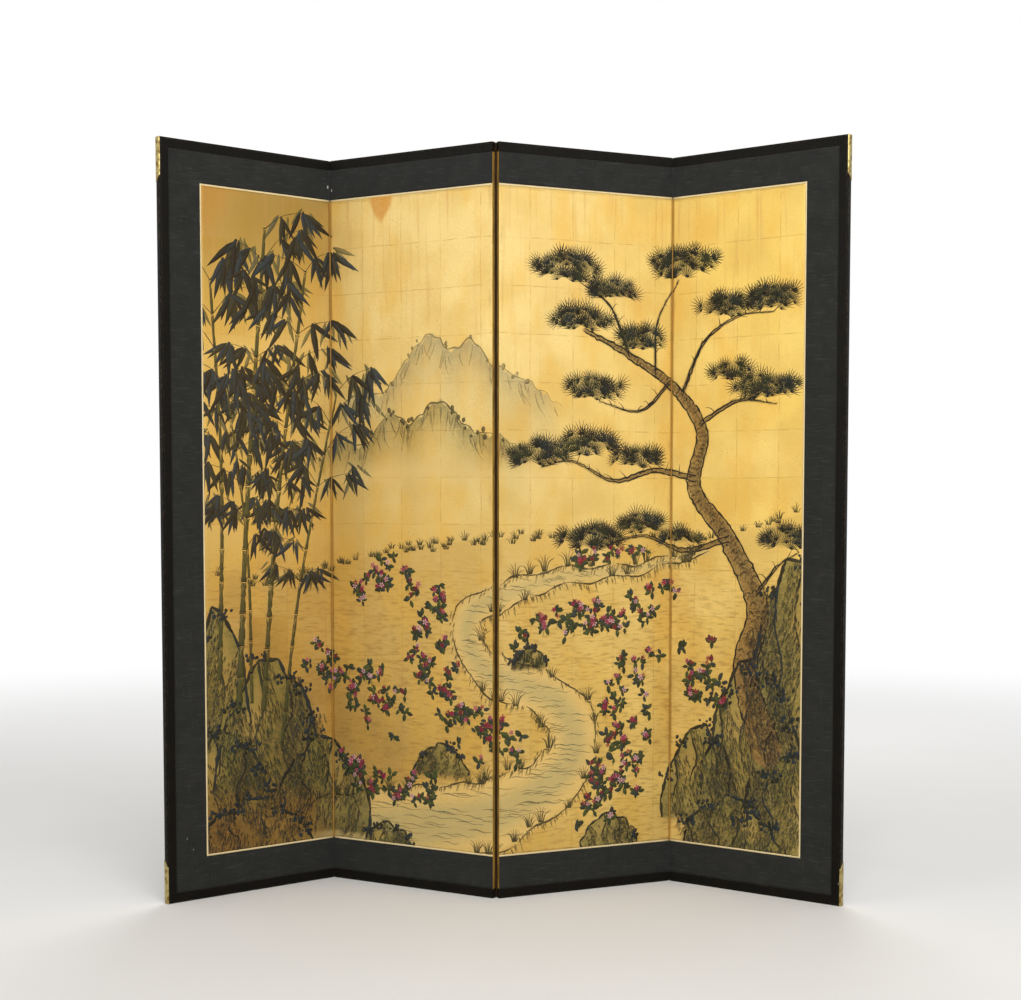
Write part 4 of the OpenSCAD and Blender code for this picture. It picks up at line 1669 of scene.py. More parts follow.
class Meadow(Motif):
    """The ground, and the stream that winds down through it."""

    seed = 23
    skyline: Points = [(-0.02, 0.68), (0.15, 0.63), (0.34, 0.66), (0.55, 0.71), (0.80, 0.735), (1.05, 0.76),
                       (1.30, 0.73), (1.62, 0.80)]
    stream: Points = [(1.34, 0.70), (1.14, 0.655), (0.92, 0.635), (0.74, 0.56), (0.76, 0.44), (0.95, 0.34),
                      (0.97, 0.20), (0.78, 0.09), (0.50, 0.03), (0.30, -0.03)]
    width: Halves = (0.006, 0.012, 0.022, 0.034, 0.046, 0.058, 0.072, 0.088, 0.10, 0.12)

    def paint(self) -> None:
        """Paints the ground's washes, the water, its banks, ripples and grass."""
        self.wash("#a07a36", 0.2, 0.30, ridge=smooth_line(self.skyline, 0.02))
        self.wash("#7d5a26", 0.34, 0.12, outline=[
            (-0.1, -0.1), (-0.1, 0.5), (0.18, 0.52), (0.42, 0.34), (0.62, 0.24), (0.5, 0.13), (0.3, 0.08)])
        self.wash("#8a6a2c", 0.14, 0.12, outline=[
            (1.7, -0.1), (1.7, 0.62), (1.42, 0.56), (1.2, 0.36), (1.12, 0.1), (1.0, -0.1)])
        line = smooth_line(self.stream, 0.012)
        share = np.linspace(0, 1, len(line))
        half = spread(self.width, share)
        self.wash("#e2bf74", 0.85, 0.02, line=line, half=self.width)
        self.wash("#87906c", 0.42, 0.045, line=line, half=tuple(0.5 * w for w in self.width))
        _, side = sides_of(line)
        for sign in (-1, 1):
            bank = line + sign * side * half[:, None]
            bank += 0.006 * np.column_stack([np.sin(share * 70 + sign), np.cos(share * 91)])
            self.bank(bank, sign)
        for _ in range(240):
            i = self.count(4, len(line) - 6)
            s, t = line[i] + side[i] * half[i] * self.vary(-0.8, 0.8)
            reach = self.vary(0.3, 0.9) * half[i] + 0.012
            self.stroke([(s - reach / 2, t), (s - reach / 6, t + 0.0025), (s + reach / 6, t - 0.002),
                         (s + reach / 2, t + 0.001)], (0.2, 0.9, 0.6, 0.2), self.pick(("#5b5230", "#4b5242")),
                        0.75, 0.25)
        for _ in range(90):
            s = self.vary(0.0, 1.58)
            t = float(np.interp(s, *np.array(self.skyline).T)) + self.vary(-0.02, 0.004)
            self.grass((s, t), self.vary(0.014, 0.028), 6)

    def bank(self, bank: np.ndarray, sign: int) -> None:
        """Paints one bank: a broken edge line, hatches under it, and tufts of grass on it.

        Args:
            bank: The bank's points.
            sign: Its side, -1 or 1.
        """
        first = 0
        while first < len(bank) - 6:
            last = min(len(bank) - 1, first + self.count(8, 22))
            self.stroke(bank[first:last:2], (0.5, 2.2, 1.2, 2.6, 0.6), "#2c2718", 0.9, 0.3, 0.6)
            first = last - 1 + self.count(0, 3)
        for place in bank[3:-2]:
            for _ in range(2):
                s, t = self.near(place, 0.008, 0.004)
                fall = self.vary(0.008, 0.022)
                self.stroke([(s, t), (s + 0.002 * sign, t - fall * 0.5), (s + 0.005 * sign, t - fall)],
                            (0.8, 1.7, 0.3), "#43381e", 0.8, 0.5)
            if self.rng.random() < 0.16:
                self.grass(self.near(place, 0.01, 0.006), self.vary(0.03, 0.055))


class Rocks(Motif):
    """Weathered rocks in two groups and a few in the stream."""

    seed = 37
    # Middle of the foot, width and height of each rock, from the farthest to the nearest
    places: tuple[tuple[float, ...], ...] = (
        (0.02, 0.24, 0.2, 0.33), (0.17, 0.13, 0.3, 0.31), (0.05, 0.06, 0.26, 0.22), (0.31, 0.02, 0.3, 0.23),
        (0.12, -0.04, 0.34, 0.16), (1.56, 0.3, 0.2, 0.38), (1.47, 0.12, 0.28, 0.33), (1.33, 0.06, 0.22, 0.22),
        (1.55, -0.03, 0.28, 0.26), (1.41, -0.05, 0.3, 0.17), (0.655, 0.175, 0.15, 0.075),
        (0.87, 0.43, 0.09, 0.05), (1.08, -0.01, 0.15, 0.09), (0.5, -0.03, 0.16, 0.08))
    # The outline of a rock from its left foot to its right foot, as shares of its width and height
    outline: Points = [
        (-0.5, 0), (-0.49, 0.22), (-0.41, 0.42), (-0.36, 0.66), (-0.22, 0.8), (-0.12, 0.98), (0.05, 1),
        (0.13, 0.84), (0.27, 0.8), (0.37, 0.58), (0.45, 0.36), (0.5, 0.14), (0.51, 0)]
    # Where faces of the rock meet: from a point of the outline down to a place at its foot
    ridges: tuple[tuple[int, Points], ...] = (
        (3, [(-0.30, 0.42), (-0.36, 0.18), (-0.30, 0.0)]), (5, [(-0.06, 0.66), (-0.14, 0.40), (-0.05, 0.12)]),
        (7, [(0.20, 0.60), (0.10, 0.36), (0.20, 0.05)]), (9, [(0.34, 0.34), (0.38, 0.1)]))
    mosses: tuple[str, ...] = ("#192228", "#202c33", "#17190f")

    def paint(self) -> None:
        """Paints the rocks from the farthest to the nearest."""
        for place in self.places:
            self.rock(*place)

    def rock(self, s: float, t: float, wide: float, tall: float) -> None:
        """Paints one rock: washes, contour, ridges, side strokes and moss.

        Args:
            s: The middle of its foot across.
            t: Its foot.
            wide: Its width.
            tall: Its height.
        """
        size = math.sqrt(wide * tall)
        side = 1 if self.rng.random() < 0.5 else -1

        def spots(points: Points) -> np.ndarray:
            """Puts points of the rock's own in the picture."""
            return np.array([s, t]) + np.array(points) * np.array([side * wide, tall])

        edge = spots(np.array(self.outline) + self.rng.uniform(-0.035, 0.035, (len(self.outline), 2)))
        self.wash("#62602f", 0.84, 0.008, outline=edge)
        shaded = np.vstack([edge[-6:], spots([(0.12, 0.0), (0.0, 0.36), (0.12, 0.66)])])
        self.wash("#2b2f1c", 0.74, 0.16 * size, outline=shaded)
        self.wash("#33301f", 0.6, 0.22 * size, line=spots([(-0.4, 0.02), (0.42, 0.02)]), half=(0.05 * size,))
        self.wash("#b9964e", 0.42, 0.14 * size, outline=spots(
            [(-0.32, 0.5), (-0.12, 0.86), (-0.02, 0.6), (-0.2, 0.36)]))
        thick = 12 * size + 1.8
        for a, b in zip(edge, edge[1:]):
            bow = (a + b) / 2 + self.vary(-0.03, 0.05) * np.array([b[1] - a[1], a[0] - b[0]]) * -side
            half = (0.5 * thick, thick, 0.45 * thick)
            self.stroke([a, bow, b], half, self.pick(self.soot), 0.96, 0.25, 0.7)
        for index, points in self.ridges:
            line = smooth_line([edge[index], *spots(points)], 0.012)
            half = (0.7 * thick, 0.5 * thick, 0.25 * thick)
            self.stroke(line[::2], half, self.pick(self.soot), 0.94, 0.35, 1.2)
            for at in np.repeat(line, 5, axis=0):
                self.cut(at, side, size * self.vary(0.05, 0.13), 0.06 * size)
        for _ in range(int(2600 * wide * tall)):
            at = spots([self.vary(-0.42, 0.46), self.vary(0.02, 0.7)])
            if inside(at[None], edge)[0]:
                self.cut(at, side, size * self.vary(0.05, 0.1), 0.0)
        for place in edge[2:-2]:
            if self.rng.random() < 0.5:
                for _ in range(int(6 + 40 * size)):
                    self.dab(Shape.DOT, self.near(place, 0.09 * size, 0.05 * size), self.vary(0, 360),
                             self.vary(6, 12), self.pick(self.mosses), cover=0.95)

    def cut(self, at: Place, side: int, fall: float, spread_s: float) -> None:
        """Paints one short dry side stroke that falls away from the light.

        Args:
            at: Where it starts.
            side: The shaded side, -1 or 1.
            fall: How far it falls.
            spread_s: How far across it may lie.
        """
        s, t = self.near((at[0] + side * spread_s, at[1]), spread_s, 0.004)
        lean = side * fall * self.vary(0.1, 0.6)
        self.stroke([(s, t), (s + lean * 0.3, t - fall * 0.55), (s + lean, t - fall)], (0.7, 2.9, 0.7),
                    self.pick(self.soot), 0.86, 0.54)


class Bamboo(Motif):
    """A grove of bamboo whose clusters of leaves hang from thin side twigs."""

    seed = 41
    # Three points up each culm, and half its thickness at the foot in millimetres, from the thinnest
    culms: tuple[tuple[Points, float], ...] = (
        ([(0.12, 0.34), (0.11, 0.72), (0.06, 1.08)], 3.4),
        ([(0.20, 0.24), (0.255, 0.62), (0.36, 1.08)], 4.0),
        ([(0.035, 0.40), (0.045, 0.88), (0.02, 1.32)], 4.6),
        ([(0.15, 0.32), (0.195, 0.82), (0.275, 1.36)], 5.6),
        ([(0.085, 0.33), (0.115, 0.86), (0.165, 1.45)], 6.4))
    joint: float = 0.078
    pale: tuple[str, ...] = ("#56542f", "#4b4f3c", "#5f5a35")

    def paint(self) -> None:
        """Paints the culms."""
        for points, half in self.culms:
            self.culm(smooth_line(points, self.joint), 1.25 * half)

    def culm(self, joints: np.ndarray, half: float) -> None:
        """Paints one culm between its joints, with twigs from the upper ones.

        Args:
            joints: The joints' places.
            half: Half its thickness at the foot.
        """
        count = len(joints)
        for i, (a, b) in enumerate(zip(joints, joints[1:])):
            run = (b - a) / np.linalg.norm(b - a)
            near, far = a + run * 0.0025, b - run * 0.0025
            now = half * (1 - 0.55 * i / count)
            side = np.array([-run[1], run[0]]) * now * MM
            middle, swell = (near + far) / 2, (now * 1.08, now * 0.9, now * 1.05)
            for points, halves, *look in (
                    ([near, middle, far], swell, "#44421f", 0.95, 0.36),
                    ([b - side * 1.3, b + run * 0.001, b + side * 1.3], (0.7, 1.3, 0.7), "#15130d"),
                    ([near + side * 0.85, far + side * 0.85], (0.5, 0.7, 0.5), "#1d1b11", 0.8, 0.3)):
                self.stroke(points, halves, *look, layer=Layer.FOLIAGE)
            if i / count > 0.3:
                for hand in (-1, 1):
                    if self.rng.random() < 0.86:
                        self.twig(b, hand, 0.6 + 0.7 * i / count)

    def twig(self, at: Place, hand: int, size: float) -> None:
        """Paints one twig to the left (-1) or the right (1), with clusters of hanging leaves.

        Args:
            at: Its root.
            hand: The side that it grows to.
            size: How big it is, by shares of a common one.
        """
        reach = 0.075 * size * self.vary(0.7, 1.3)
        rise = reach * self.vary(0.3, 0.9)
        end = (at[0] + hand * reach, at[1] + rise)
        half_way = (at[0] + hand * reach * 0.45, at[1] + rise * 0.68)
        self.stroke([at, half_way, end], (0.9, 0.7, 0.4), "#24211a", layer=Layer.FOLIAGE)
        for place in (half_way, end, self.near(end, 0.025, 0.02)):
            for _ in range(self.count(2, 4)):
                spot, turn = self.near(place, 0.02, 0.012), -90 + hand * self.vary(-40, 70)
                long = self.vary(34, 62) * size
                self.dab(Shape.BAMBOO_LEAF, spot, turn, long, self.pick(self.pale), Layer.LINES, 0.8)
            for _ in range(self.count(3, 6)):
                spot, turn = self.near(place, 0.005, 0.004), -90 + hand * self.vary(-30, 66)
                long = self.vary(38, 80) * size
                self.dab(Shape.BAMBOO_LEAF, spot, turn, long, self.pick((*self.soot, "#232e34")), cover=0.96)


class Pine(Motif):
    """An old pine that leans over the stream, with flat pads of needles."""

    seed = 53
    trunk: Points = [(1.50, 0.24), (1.445, 0.42), (1.475, 0.57), (1.395, 0.73), (1.305, 0.85), (1.325, 0.98),
                     (1.245, 1.09), (1.13, 1.16), (1.01, 1.215)]
    half: Halves = (0.040, 0.031, 0.028, 0.024, 0.019, 0.016, 0.012, 0.008, 0.003)
    # Points along each limb, and half its thickness at its root in millimetres
    limbs: tuple[tuple[Points, float], ...] = (
        ([(1.40, 0.73), (1.28, 0.70), (1.17, 0.735), (1.06, 0.71)], 8),
        ([(1.47, 0.60), (1.53, 0.67), (1.58, 0.70)], 6),
        ([(1.31, 0.87), (1.20, 0.89), (1.09, 0.865), (0.98, 0.91), (0.90, 0.895)], 8),
        ([(1.32, 1.0), (1.42, 1.05), (1.52, 1.04)], 6), ([(1.24, 1.10), (1.16, 1.03), (1.05, 1.05)], 5),
        ([(1.27, 1.07), (1.33, 1.19), (1.42, 1.245), (1.51, 1.25)], 6),
        ([(1.13, 1.16), (1.08, 1.27), (0.99, 1.33)], 5),
        ([(1.20, 1.12), (1.205, 1.24), (1.26, 1.34)], 5))
    # Middle and size of each pad
    pads: tuple[tuple[float, ...], ...] = (
        (1.035, 0.735, 0.17, 0.055), (1.16, 0.77, 0.13, 0.045), (1.27, 0.735, 0.1, 0.035),
        (1.55, 0.735, 0.13, 0.05), (0.895, 0.93, 0.16, 0.055), (1.015, 0.955, 0.16, 0.05),
        (1.15, 0.925, 0.13, 0.045), (1.49, 1.085, 0.17, 0.055), (1.04, 1.085, 0.15, 0.05),
        (1.51, 1.285, 0.14, 0.055), (1.385, 1.275, 0.14, 0.05), (0.965, 1.36, 0.17, 0.06),
        (1.085, 1.315, 0.13, 0.05), (1.27, 1.38, 0.18, 0.06), (1.005, 1.245, 0.15, 0.05),
        (1.16, 1.205, 0.13, 0.05), (1.4, 1.125, 0.1, 0.04))
    needles: tuple[str, ...] = ("#14130d", "#14130d", "#1f2016", "#2b3019", "#1a2426")
    # Tufts of needles on a square metre of pad
    density: float = 5600.0

    def paint(self) -> None:
        """Paints the trunk, the limbs and the pads."""
        line = smooth_line(self.trunk, 0.01)
        self.wash("#71502a", 0.86, 0.006, line=line, half=self.half)
        self.wash("#38281a", 0.6, 0.014, line=line + (0.008, -0.004), half=tuple(0.5 * h for h in self.half))
        half = spread(self.half, np.linspace(0, 1, len(line)))
        run, side = sides_of(line)
        for sign in (-1, 1):
            edge = line + sign * side * half[:, None]
            for first in range(0, len(edge) - 3, 7):
                self.stroke(edge[first:first + 9], (0.9, 2.6, 1.5, 2.2, 0.8), "#17140e", 0.97, 0.16, 1.3)
        for _ in range(420):
            i = self.count(0, len(line) - 6)
            at = line[i] + side[i] * half[i] * self.vary(-0.85, 0.85)
            size = half[i] * self.vary(0.18, 0.34)
            self.stroke([at - side[i] * size, at + run[i] * size * 1.2, at + side[i] * size], (0.4, 1.0, 0.4),
                        "#221b12", 0.85, 0.25)
        for points, thick in self.limbs:
            self.limb(points, thick)
        for pad in self.pads:
            self.pad(*pad)

    def limb(self, points: Points, thick: float) -> None:
        """Paints one limb: its wash, both of its edges, and twigs under it.

        Args:
            points: Points along it.
            thick: Half its thickness at its root.
        """
        line = smooth_line(points, 0.012)
        self.wash("#5a4024", 0.86, 0.005, line=line, half=(thick * MM, thick * 0.2 * MM))
        for sign in (-1, 1):
            off = np.column_stack([np.zeros(len(line)), np.linspace(sign * thick * 0.9, 0, len(line)) * MM])
            self.stroke(line + off, (1.6, 2.0, 1.0, 0.6), "#17140e", 0.97, 0.15, 0.9)
        for place in line[4::3]:
            s, t = self.near(place, 0.03, 0.01)
            twig = [place, ((place[0] + s) / 2, place[1] + 0.012), (s, t + 0.018)]
            self.stroke(twig, (1.2, 0.8, 0.3), "#1d1812")

    def pad(self, s: float, t: float, wide: float, tall: float) -> None:
        """Paints one pad of needles: a dark green wash, and tufts that fan out and up from it.

        Args:
            s: The middle across.
            t: The middle up.
            wide: Its width.
            tall: Its height.
        """
        turns = np.linspace(0, 2 * math.pi, 16, endpoint=False)
        self.wash("#4a4c2a", 0.5, 0.01, outline=np.column_stack(
            [s + wide * 0.46 * np.cos(turns), t + tall * 0.42 * np.sin(turns)]))
        for _ in range(int(wide * tall * self.density)):
            turn, reach = self.vary(0, 2 * math.pi), math.sqrt(self.rng.random())
            x, y = reach * math.cos(turn), reach * math.sin(turn)
            lean = 90 - 62 * x + self.vary(-14, 14)
            root, long = (s + x * wide / 2, t + y * tall / 2 - 0.008), self.vary(23, 35)
            self.dab(Shape.NEEDLES, root, lean, long, self.pick(self.needles), cover=0.98)


class Azaleas(Motif):
    """Low bushes with small dark leaves and crimson flowers, in drifts along the banks."""

    seed = 67
    # Points along a drift, its spread to each side in metres, and how many sprigs it has
    drifts: tuple[tuple[Points, float, int], ...] = (
        ([(1.24, 0.60), (1.10, 0.55), (0.97, 0.55), (0.87, 0.50)], 0.036, 56),
        ([(1.16, 0.44), (1.12, 0.33), (1.13, 0.22), (1.02, 0.08)], 0.048, 74),
        ([(0.60, 0.62), (0.62, 0.52), (0.62, 0.42), (0.74, 0.30), (0.82, 0.23)], 0.044, 76),
        ([(0.30, 0.46), (0.42, 0.38), (0.52, 0.30)], 0.05, 50),
        ([(0.62, 0.14), (0.48, 0.14), (0.38, 0.20)], 0.035, 40),
        ([(1.30, 0.46), (1.34, 0.36)], 0.04, 24), ([(0.45, 0.60), (0.52, 0.66)], 0.036, 20),
        ([(0.98, 0.68), (1.16, 0.70)], 0.014, 18))
    leaf_colours: tuple[str, ...] = ("#2f3a20", "#232d1b", "#3d4822", "#2a3530")
    flower_colours: tuple[str, ...] = ("#8a2338", "#a33248", "#b8526a", "#94282f", "#d6a2a4")

    def paint(self) -> None:
        """Paints the drifts, each with its sprigs from the farthest to the nearest."""
        for points, wide, count in self.drifts:
            line = smooth_line(points, 0.01)
            spots = [self.near(line[self.count(0, len(line))], 1.3 * wide, wide)
                     for _ in range(count)]
            for spot in sorted(spots, key=lambda at: -at[1]):
                self.sprig(spot)

    def sprig(self, at: Place) -> None:
        """Paints one sprig: a stem, a few leaves and most often a flower.

        Args:
            at: Where its leaves are.
        """
        rise = self.vary(0.008, 0.02)
        stem = [(at[0], at[1] - rise), (at[0] + 0.002, at[1] - rise / 2), at]
        self.stroke(stem, (0.5, 0.7, 0.4), "#2b2a18", 0.9)
        for k in range(self.count(4, 7)):
            turn = self.vary(-30, 210) if k else -90 + self.vary(-30, 30)
            self.dab(Shape.BROAD_LEAF, self.near(at, 0.004, 0.003), turn, self.vary(13, 21),
                     self.pick(self.leaf_colours), cover=0.97)
        if self.rng.random() < 0.62:
            for _ in range(self.count(1, 3)):
                spot, turn = self.near((at[0], at[1] + 0.008), 0.008, 0.006), self.vary(0, 72)
                self.dab(Shape.PETALS, spot, turn, self.vary(10, 15), self.pick(self.flower_colours),
                         Layer.BLOSSOM)


class Stains(Motif):
    """What age has done to the papers: orange and brown stains on the gold, and wear along the folds."""

    seed = 71
    # Where the folds are in the picture
    folds: tuple[float, ...] = (0.3436, 0.7936, 1.2436)

    def paint(self) -> None:
        """Adds the stains."""
        self.wash("#d08a30", 0.75, 0.012, outline=[
            (0.455, 1.54), (0.525, 1.54), (0.515, 1.505), (0.49, 1.472), (0.474, 1.485), (0.462, 1.51)])
        self.wash("#c8822c", 0.36, 0.09, outline=[
            (-0.05, 1.6), (0.12, 1.6), (0.05, 1.47), (0.012, 1.40), (-0.05, 1.38)])
        self.wash("#7a4c18", 0.5, 0.1, outline=[
            (-0.05, -0.05), (-0.05, 0.16), (0.1, 0.12), (0.3, 0.1), (0.34, -0.05)])
        for fold in self.folds:
            for place in np.linspace(0.05, 1.48, 14):
                s, t = fold + self.vary(-0.006, 0.006), place + self.vary(-0.05, 0.05)
                self.wash("#96642a", 0.35, 0.012, half=(0.0, 0.004, 0.0), line=np.array(
                    [(s, t), (s, t + self.vary(0.02, 0.09))]))


@dataclass
class Picture:
    """The picture over all four leaves: one sheet of gold leaf on each, and the marks painted on it."""

    leaves: list[Leaf]
    cell: float = 4.2 * MM
    lift: float = 0.1 * MM
    layer_step: float = 0.07 * MM
    stroke_step: float = 9 * MM
    mark_t: float = 0.3 * MM
    least_half: float = 0.12 * MM
    # From the farthest to the nearest
    motifs: list[Motif] = field(default_factory=lambda: [
        Hills(), Meadow(), Rocks(), Bamboo(), Pine(), Azaleas(), Stains()])

    def build(self) -> None:
        """Makes the sheet and the marks of each leaf."""
        layers = {layer: self.marks(layer) for layer in Layer}
        start = 0.0
        for leaf in self.leaves:
            box = leaf.extent("painting")
            shift = (start - box.u0, -box.z0)
            finish = GoldLeafPainting(shift=shift, picture_h=box.z1 - box.z0)
            Sheet("gold_leaf_sheet", "painting", Slot.PAINTING, finish, self.cell, self.lift).build(
                leaf, lambda mesh, own: self.colour(mesh, own[:, [0, 2]] + shift))
            for layer, mesh in layers.items():
                self.cut_marks(layer, mesh, leaf, box, finish)
            start += box.u1 - box.u0
        for mesh in layers.values():
            bpy.data.meshes.remove(mesh)

    def colour(self, mesh: Mesh, at: np.ndarray) -> None:
        """Writes the washes' colour and cover at places in the picture to a mesh's vertices.

        Args:
            mesh: The mesh.
            at: Each vertex's place in the picture.
        """
        mixed, cover = np.zeros((len(at), 3)), np.zeros(len(at))
        for wash in (wash for motif in self.motifs for wash in motif.washes):
            share = wash.cover(at)
            mixed = mixed * (1 - share[:, None]) + np.array(linear(wash.colour)[:3]) * share[:, None]
            cover = cover * (1 - share) + share
        set_colours(mesh, "wash", np.column_stack([mixed / np.maximum(cover, 1e-4)[:, None], cover]))

    def marks(self, layer: Layer) -> Mesh:
        """Makes all marks of a layer as one flat mesh in the picture's own place, with their height as z.

        Args:
            layer: The layer.

        Returns:
            The mesh.
        """
        strokes = [stroke for motif in self.motifs for stroke in motif.strokes[layer]]
        dabs = [dab for motif in self.motifs for dab in motif.dabs[layer]]
        meshes = [self.stroke_mesh(strokes, layer)] if strokes else []
        meshes += [self.dab_mesh(shape, chosen, layer) for shape in Shape
                   if (chosen := [dab for dab in dabs if dab.shape is shape])]
        work = bmesh.new()
        for mesh in meshes:
            work.from_mesh(mesh)
            bpy.data.meshes.remove(mesh)
        return to_mesh(work, bpy.data.meshes.new(layer.value[0]))

    def height(self, layer: Layer, index: int) -> float:
        """Gives a mark's height over the sheet, so that marks that cross don't lie in one plane."""
        return layer.value[1] + self.layer_step * (index * GOLDEN % 1)

    def stroke_mesh(self, strokes: Sequence[Stroke], layer: Layer) -> Mesh:
        """Sweeps a line one half width to each side of all strokes of a layer, which makes flat ribbons.

        Args:
            strokes: The strokes.
            layer: Their layer.

        Returns:
            The ribbons.
        """
        rng = np.random.default_rng(7)
        data: dict[str, list[float]] = {key: [] for key in ("half", "along", "dry", "cover")}
        points, pairs, inks = [], [], []
        for index, stroke in enumerate(strokes):
            line = smooth_line(stroke.points, self.stroke_step)
            first, count = len(points), len(line)
            if stroke.wobble:
                line[1:-1] += rng.normal(0, stroke.wobble, (count - 2, 2))
            share = np.linspace(0, 1, count)
            half = spread(stroke.half, share) * (1 + 0.16 * rng.standard_normal(count))
            data["half"] += np.maximum(half, self.least_half).tolist()
            data["along"] += (share * self.stroke_step * count + index * 0.37).tolist()
            data["dry"] += (stroke.dry * (0.6 + 0.8 * share)).tolist()
            data["cover"] += [stroke.cover] * count
            points += [(s, t, self.height(layer, index)) for s, t in line.tolist()]
            pairs += [(i, i + 1) for i in range(first, first + count - 1)]
            inks += [linear(stroke.colour)] * count
        mesh = set_floats(plain_mesh("paths", points, pairs), **data)
        set_colours(mesh, "ink", inks)
        tree = ShapeTree("brush strokes")
        half, side = (tree.add("InputNamedAttribute:FLOAT", key) for key in ("half", "side"))
        across = add(tree.tree, "ShaderNodeMath:MULTIPLY", half, side)
        tree.end(tree.add("StoreNamedAttribute", {
            "Geometry": tree.sweep(Scale=half), "Name": "across", "Value": across},
            data_type="FLOAT", domain="POINT"))
        return tree.run(mesh, line_mesh(np.array([(-1.0, 0, 0), (1.0, 0, 0)]), side=(-1.0, 1.0)))

    def dab_mesh(self, shape: Shape, dabs: Sequence[Dab], layer: Layer) -> Mesh:
        """Sets down all dabs of one shape, each turned and sized by its point's attributes.

        Args:
            shape: The shape.
            dabs: The dabs.
            layer: Their layer.

        Returns:
            Their mesh.
        """
        points = np.array([(*dab.at, self.height(layer, index)) for index, dab in enumerate(dabs)])
        data = {key: [getattr(dab, key) for dab in dabs] for key in ("turn", "size", "cover")}
        mesh = line_mesh(points, **data)
        set_colours(mesh, "ink", [linear(dab.colour) for dab in dabs])
        tree = ShapeTree(f"set down {shape.name.lower()}")
        turn, size = (tree.add("InputNamedAttribute:FLOAT", key) for key in ("turn", "size"))
        tree.end(tree.add("InstanceOnPoints", {
            "Points": tree.add("MeshToPoints", tree.base), "Instance": tree.stock, "Scale": size,
            "Rotation": add(tree.tree, "ShaderNodeCombineXYZ", {"Z": turn})}))
        return tree.run(mesh, shape.mesh())

    def cut_marks(self, layer: Layer, mesh: Mesh, leaf: Leaf, box: Extent, finish: GoldLeafPainting) -> None:
        """Cuts a layer's marks to one leaf and lays them on its sheet.

        Args:
            layer: The layer.
            mesh: Its marks over the whole picture.
            leaf: The leaf.
            box: The box of the leaf's painting.
            finish: The painting's finish.
        """
        work = bmesh.new()
        work.from_mesh(mesh)
        shift = np.array(finish.shift)
        for x, y in ((1, 0), (0, 1)):
            for edge, sign in (((box.u0, box.z0) + shift, -1), ((box.u1, box.z1) + shift, 1)):
                bmesh.ops.bisect_plane(
                    work, geom=[*work.verts, *work.edges, *work.faces], plane_co=(*edge, 0),
                    plane_no=(x * sign, y * sign, 0), clear_outer=True)
        cut = to_mesh(work, bpy.data.meshes.new(layer.value[0]))
        if not cut.polygons:
            bpy.data.meshes.remove(cut)
            return
        points = get_points(cut)
        at, lifted = points[:, :2], points[:, 2]
        own = np.insert(at - shift, 1, 0, axis=1)
        own[:, 1] = box.v0 - lifted - self.lift * cockle(leaf, own)
        self.colour(cut, at)
        set_sheet(layer.value[0], cut, own, leaf, box, Slot.PAINTING, finish, self.mark_t)


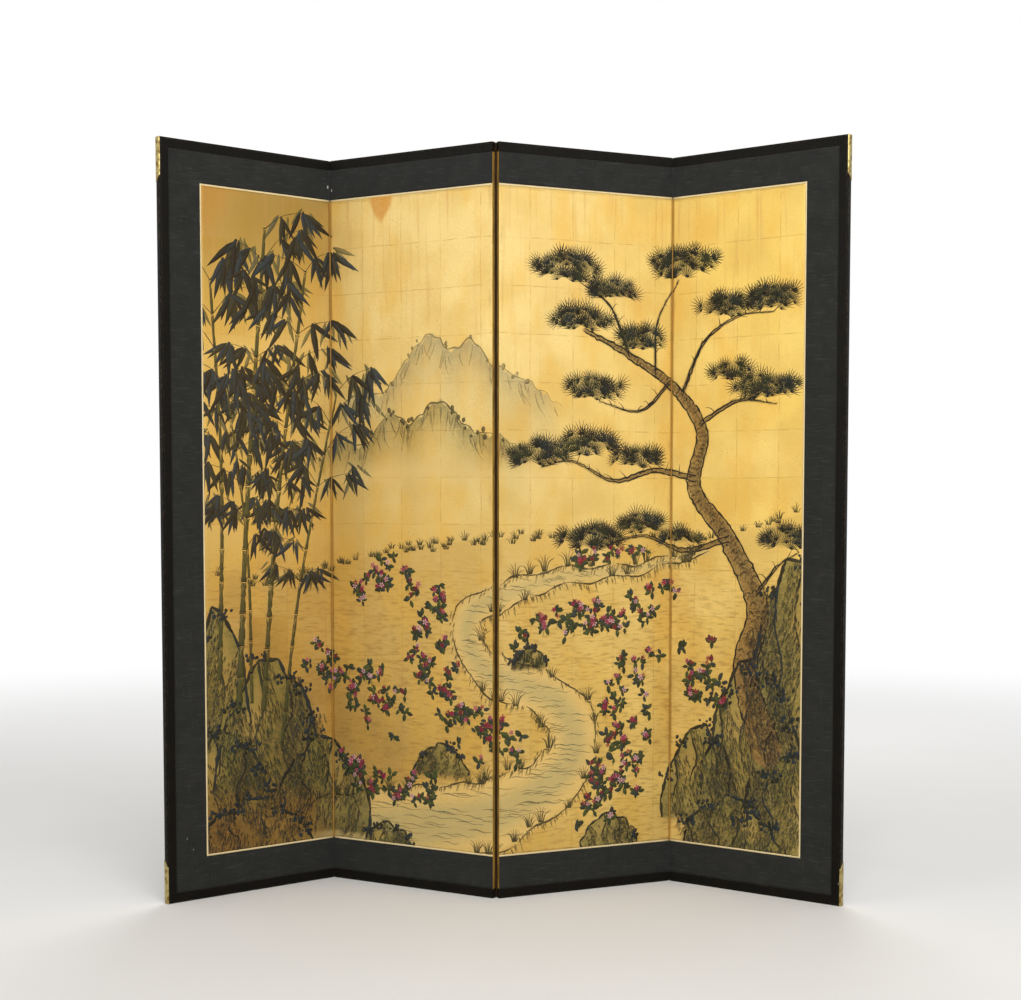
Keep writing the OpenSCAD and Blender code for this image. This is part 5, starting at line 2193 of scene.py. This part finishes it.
@dataclass
class Studio:
    """A plain pale floor, soft lamps and the camera of the reference view."""

    # The view's lens, found from 22 corners of the screen: sizes in pixels
    image_w: int = 1021
    image_h: int = 1000
    focal_px: float = 1700.0
    centre_px: Place = (510.5, 603.7)
    sensor: float = 36.0
    camera_at: Triple = (0.017, -3.971, 0.9205)
    pitch: float = -3.47
    floor_size: float = 30.0
    world_level: float = 0.42
    # Name, place, point looked at, side in metres and power in watts of each lamp
    lamps: tuple[tuple, ...] = (
        ("key", (0.5, -3.1, 3.0), (0.1, 0, 1.25), 2.0, 76),
        ("left fill", (-3.4, -2.4, 1.9), (0, 0, 0.8), 2.0, 30),
        ("right fill", (3.4, -2.6, 2.2), (0, 0, 0.9), 2.0, 22),
        ("back", (0.4, 3.2, 2.8), (0, 0, 0.9), 2.4, 60))

    def build(self) -> None:
        """Makes the camera, the floor, the lamps and the world."""
        scene = bpy.context.scene
        scene.view_settings.view_transform = "Standard"
        lens = bpy.data.cameras.new("camera")
        lens.sensor_width = self.sensor
        lens.lens = self.sensor * self.focal_px / self.image_w
        lens.shift_x = (self.image_w / 2 - self.centre_px[0]) / self.image_w
        lens.shift_y = (self.centre_px[1] - self.image_h / 2) / self.image_w
        camera = link("camera", lens)
        camera.location = self.camera_at
        camera.rotation_euler = (math.radians(90 + self.pitch), 0, 0)
        scene.camera = camera
        self.floor()
        for name, at, to, size, power in self.lamps:
            data = bpy.data.lights.new(name, "AREA")
            data.size, data.energy = size, power
            lamp = link(name, data)
            lamp.location = at
            lamp.rotation_euler = (Vector(to) - Vector(at)).to_track_quat("-Z", "Y").to_euler()
        self.world()

    def floor(self) -> None:
        """Makes the floor, which fades to white far away for the camera."""
        half = self.floor_size / 2
        mesh = plain_mesh("floor", [(-half, -half, 0), (half, -half, 0), (half, half, 0), (-half, half, 0)],
                          faces=[(0, 1, 2, 3)])
        made = bpy.data.materials.new("pale_floor")
        made.use_nodes = True
        tree = made.node_tree
        at = Surface(tree, add(tree, "ShaderNodeTexCoord").outputs["Object"])
        colour = at.add("MixRGB", at.pattern(0.4, 2), "#eceae6", "#f2f0ed")
        at.set(Roughness=0.9, Specular_IOR_Level=0.1, Base_Color=colour)
        far = at.add("VectorMath:LENGTH", at.own).outputs["Value"]
        white = at.add("Emission", "#ffffff", 1.0)
        share = at.add("Math:MULTIPLY", at.add("MapRange:SMOOTHSTEP", far, 1.0, 6.0), self.seen(at))
        mixed = at.add("MixShader", share, tree.nodes["Principled BSDF"], white)
        fill(tree.nodes["Material Output"], {"Surface": mixed})
        mesh.materials.append(made)
        link("floor", mesh)

    @staticmethod
    def seen(at: Surface) -> NodeSocket:
        """Adds a test for rays that come from the camera, straight or by way of a gloss or a glass.

        Args:
            at: The surface.

        Returns:
            Their share, 1 or 0.
        """
        path = at.add("LightPath").outputs
        gloss = at.add("Math:MAXIMUM", path["Is Glossy Ray"], path["Is Transmission Ray"])
        return at.add("Math:MAXIMUM", path["Is Camera Ray"], gloss)

    def world(self) -> None:
        """Makes an even grey world to light by, which the camera and the glosses see as white."""
        world = bpy.data.worlds.new("studio")
        world.use_nodes = True
        bpy.context.scene.world = world
        tree = world.node_tree
        tree.nodes.clear()
        light, white = (add(tree, "ShaderNodeBackground", "#ffffff", level)
                        for level in (self.world_level, 1.0))
        mixed = add(tree, "ShaderNodeMixShader", self.seen(Surface(tree)), light, white)
        add(tree, "ShaderNodeOutputWorld", mixed)


def main() -> None:
    """Builds the studio, the screen leaf by leaf and the picture."""
    logging.basicConfig(level=logging.INFO, format="%(name)s %(message)s")
    Studio().build()
    leaves = [Leaf.from_frame(number) for number in range(1, 5)]
    outer = {1: {Edge.LEFT: "left_stile"}, 4: {Edge.RIGHT: "right_stile"}}
    for leaf in leaves:
        stiles = outer.get(leaf.number, {})
        LacquerFrame(leaf, stiles).build()
        for sheet in SHEETS:
            sheet.build(leaf)
        dress_kept(leaf)
        for edge in stiles:
            CornerGuards(leaf, edge).build()
    for before, after in zip(leaves, leaves[1:]):
        FoldWeb(before, after).build()
    Picture(leaves).build()
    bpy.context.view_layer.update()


if __name__ == "__main__":
    main()
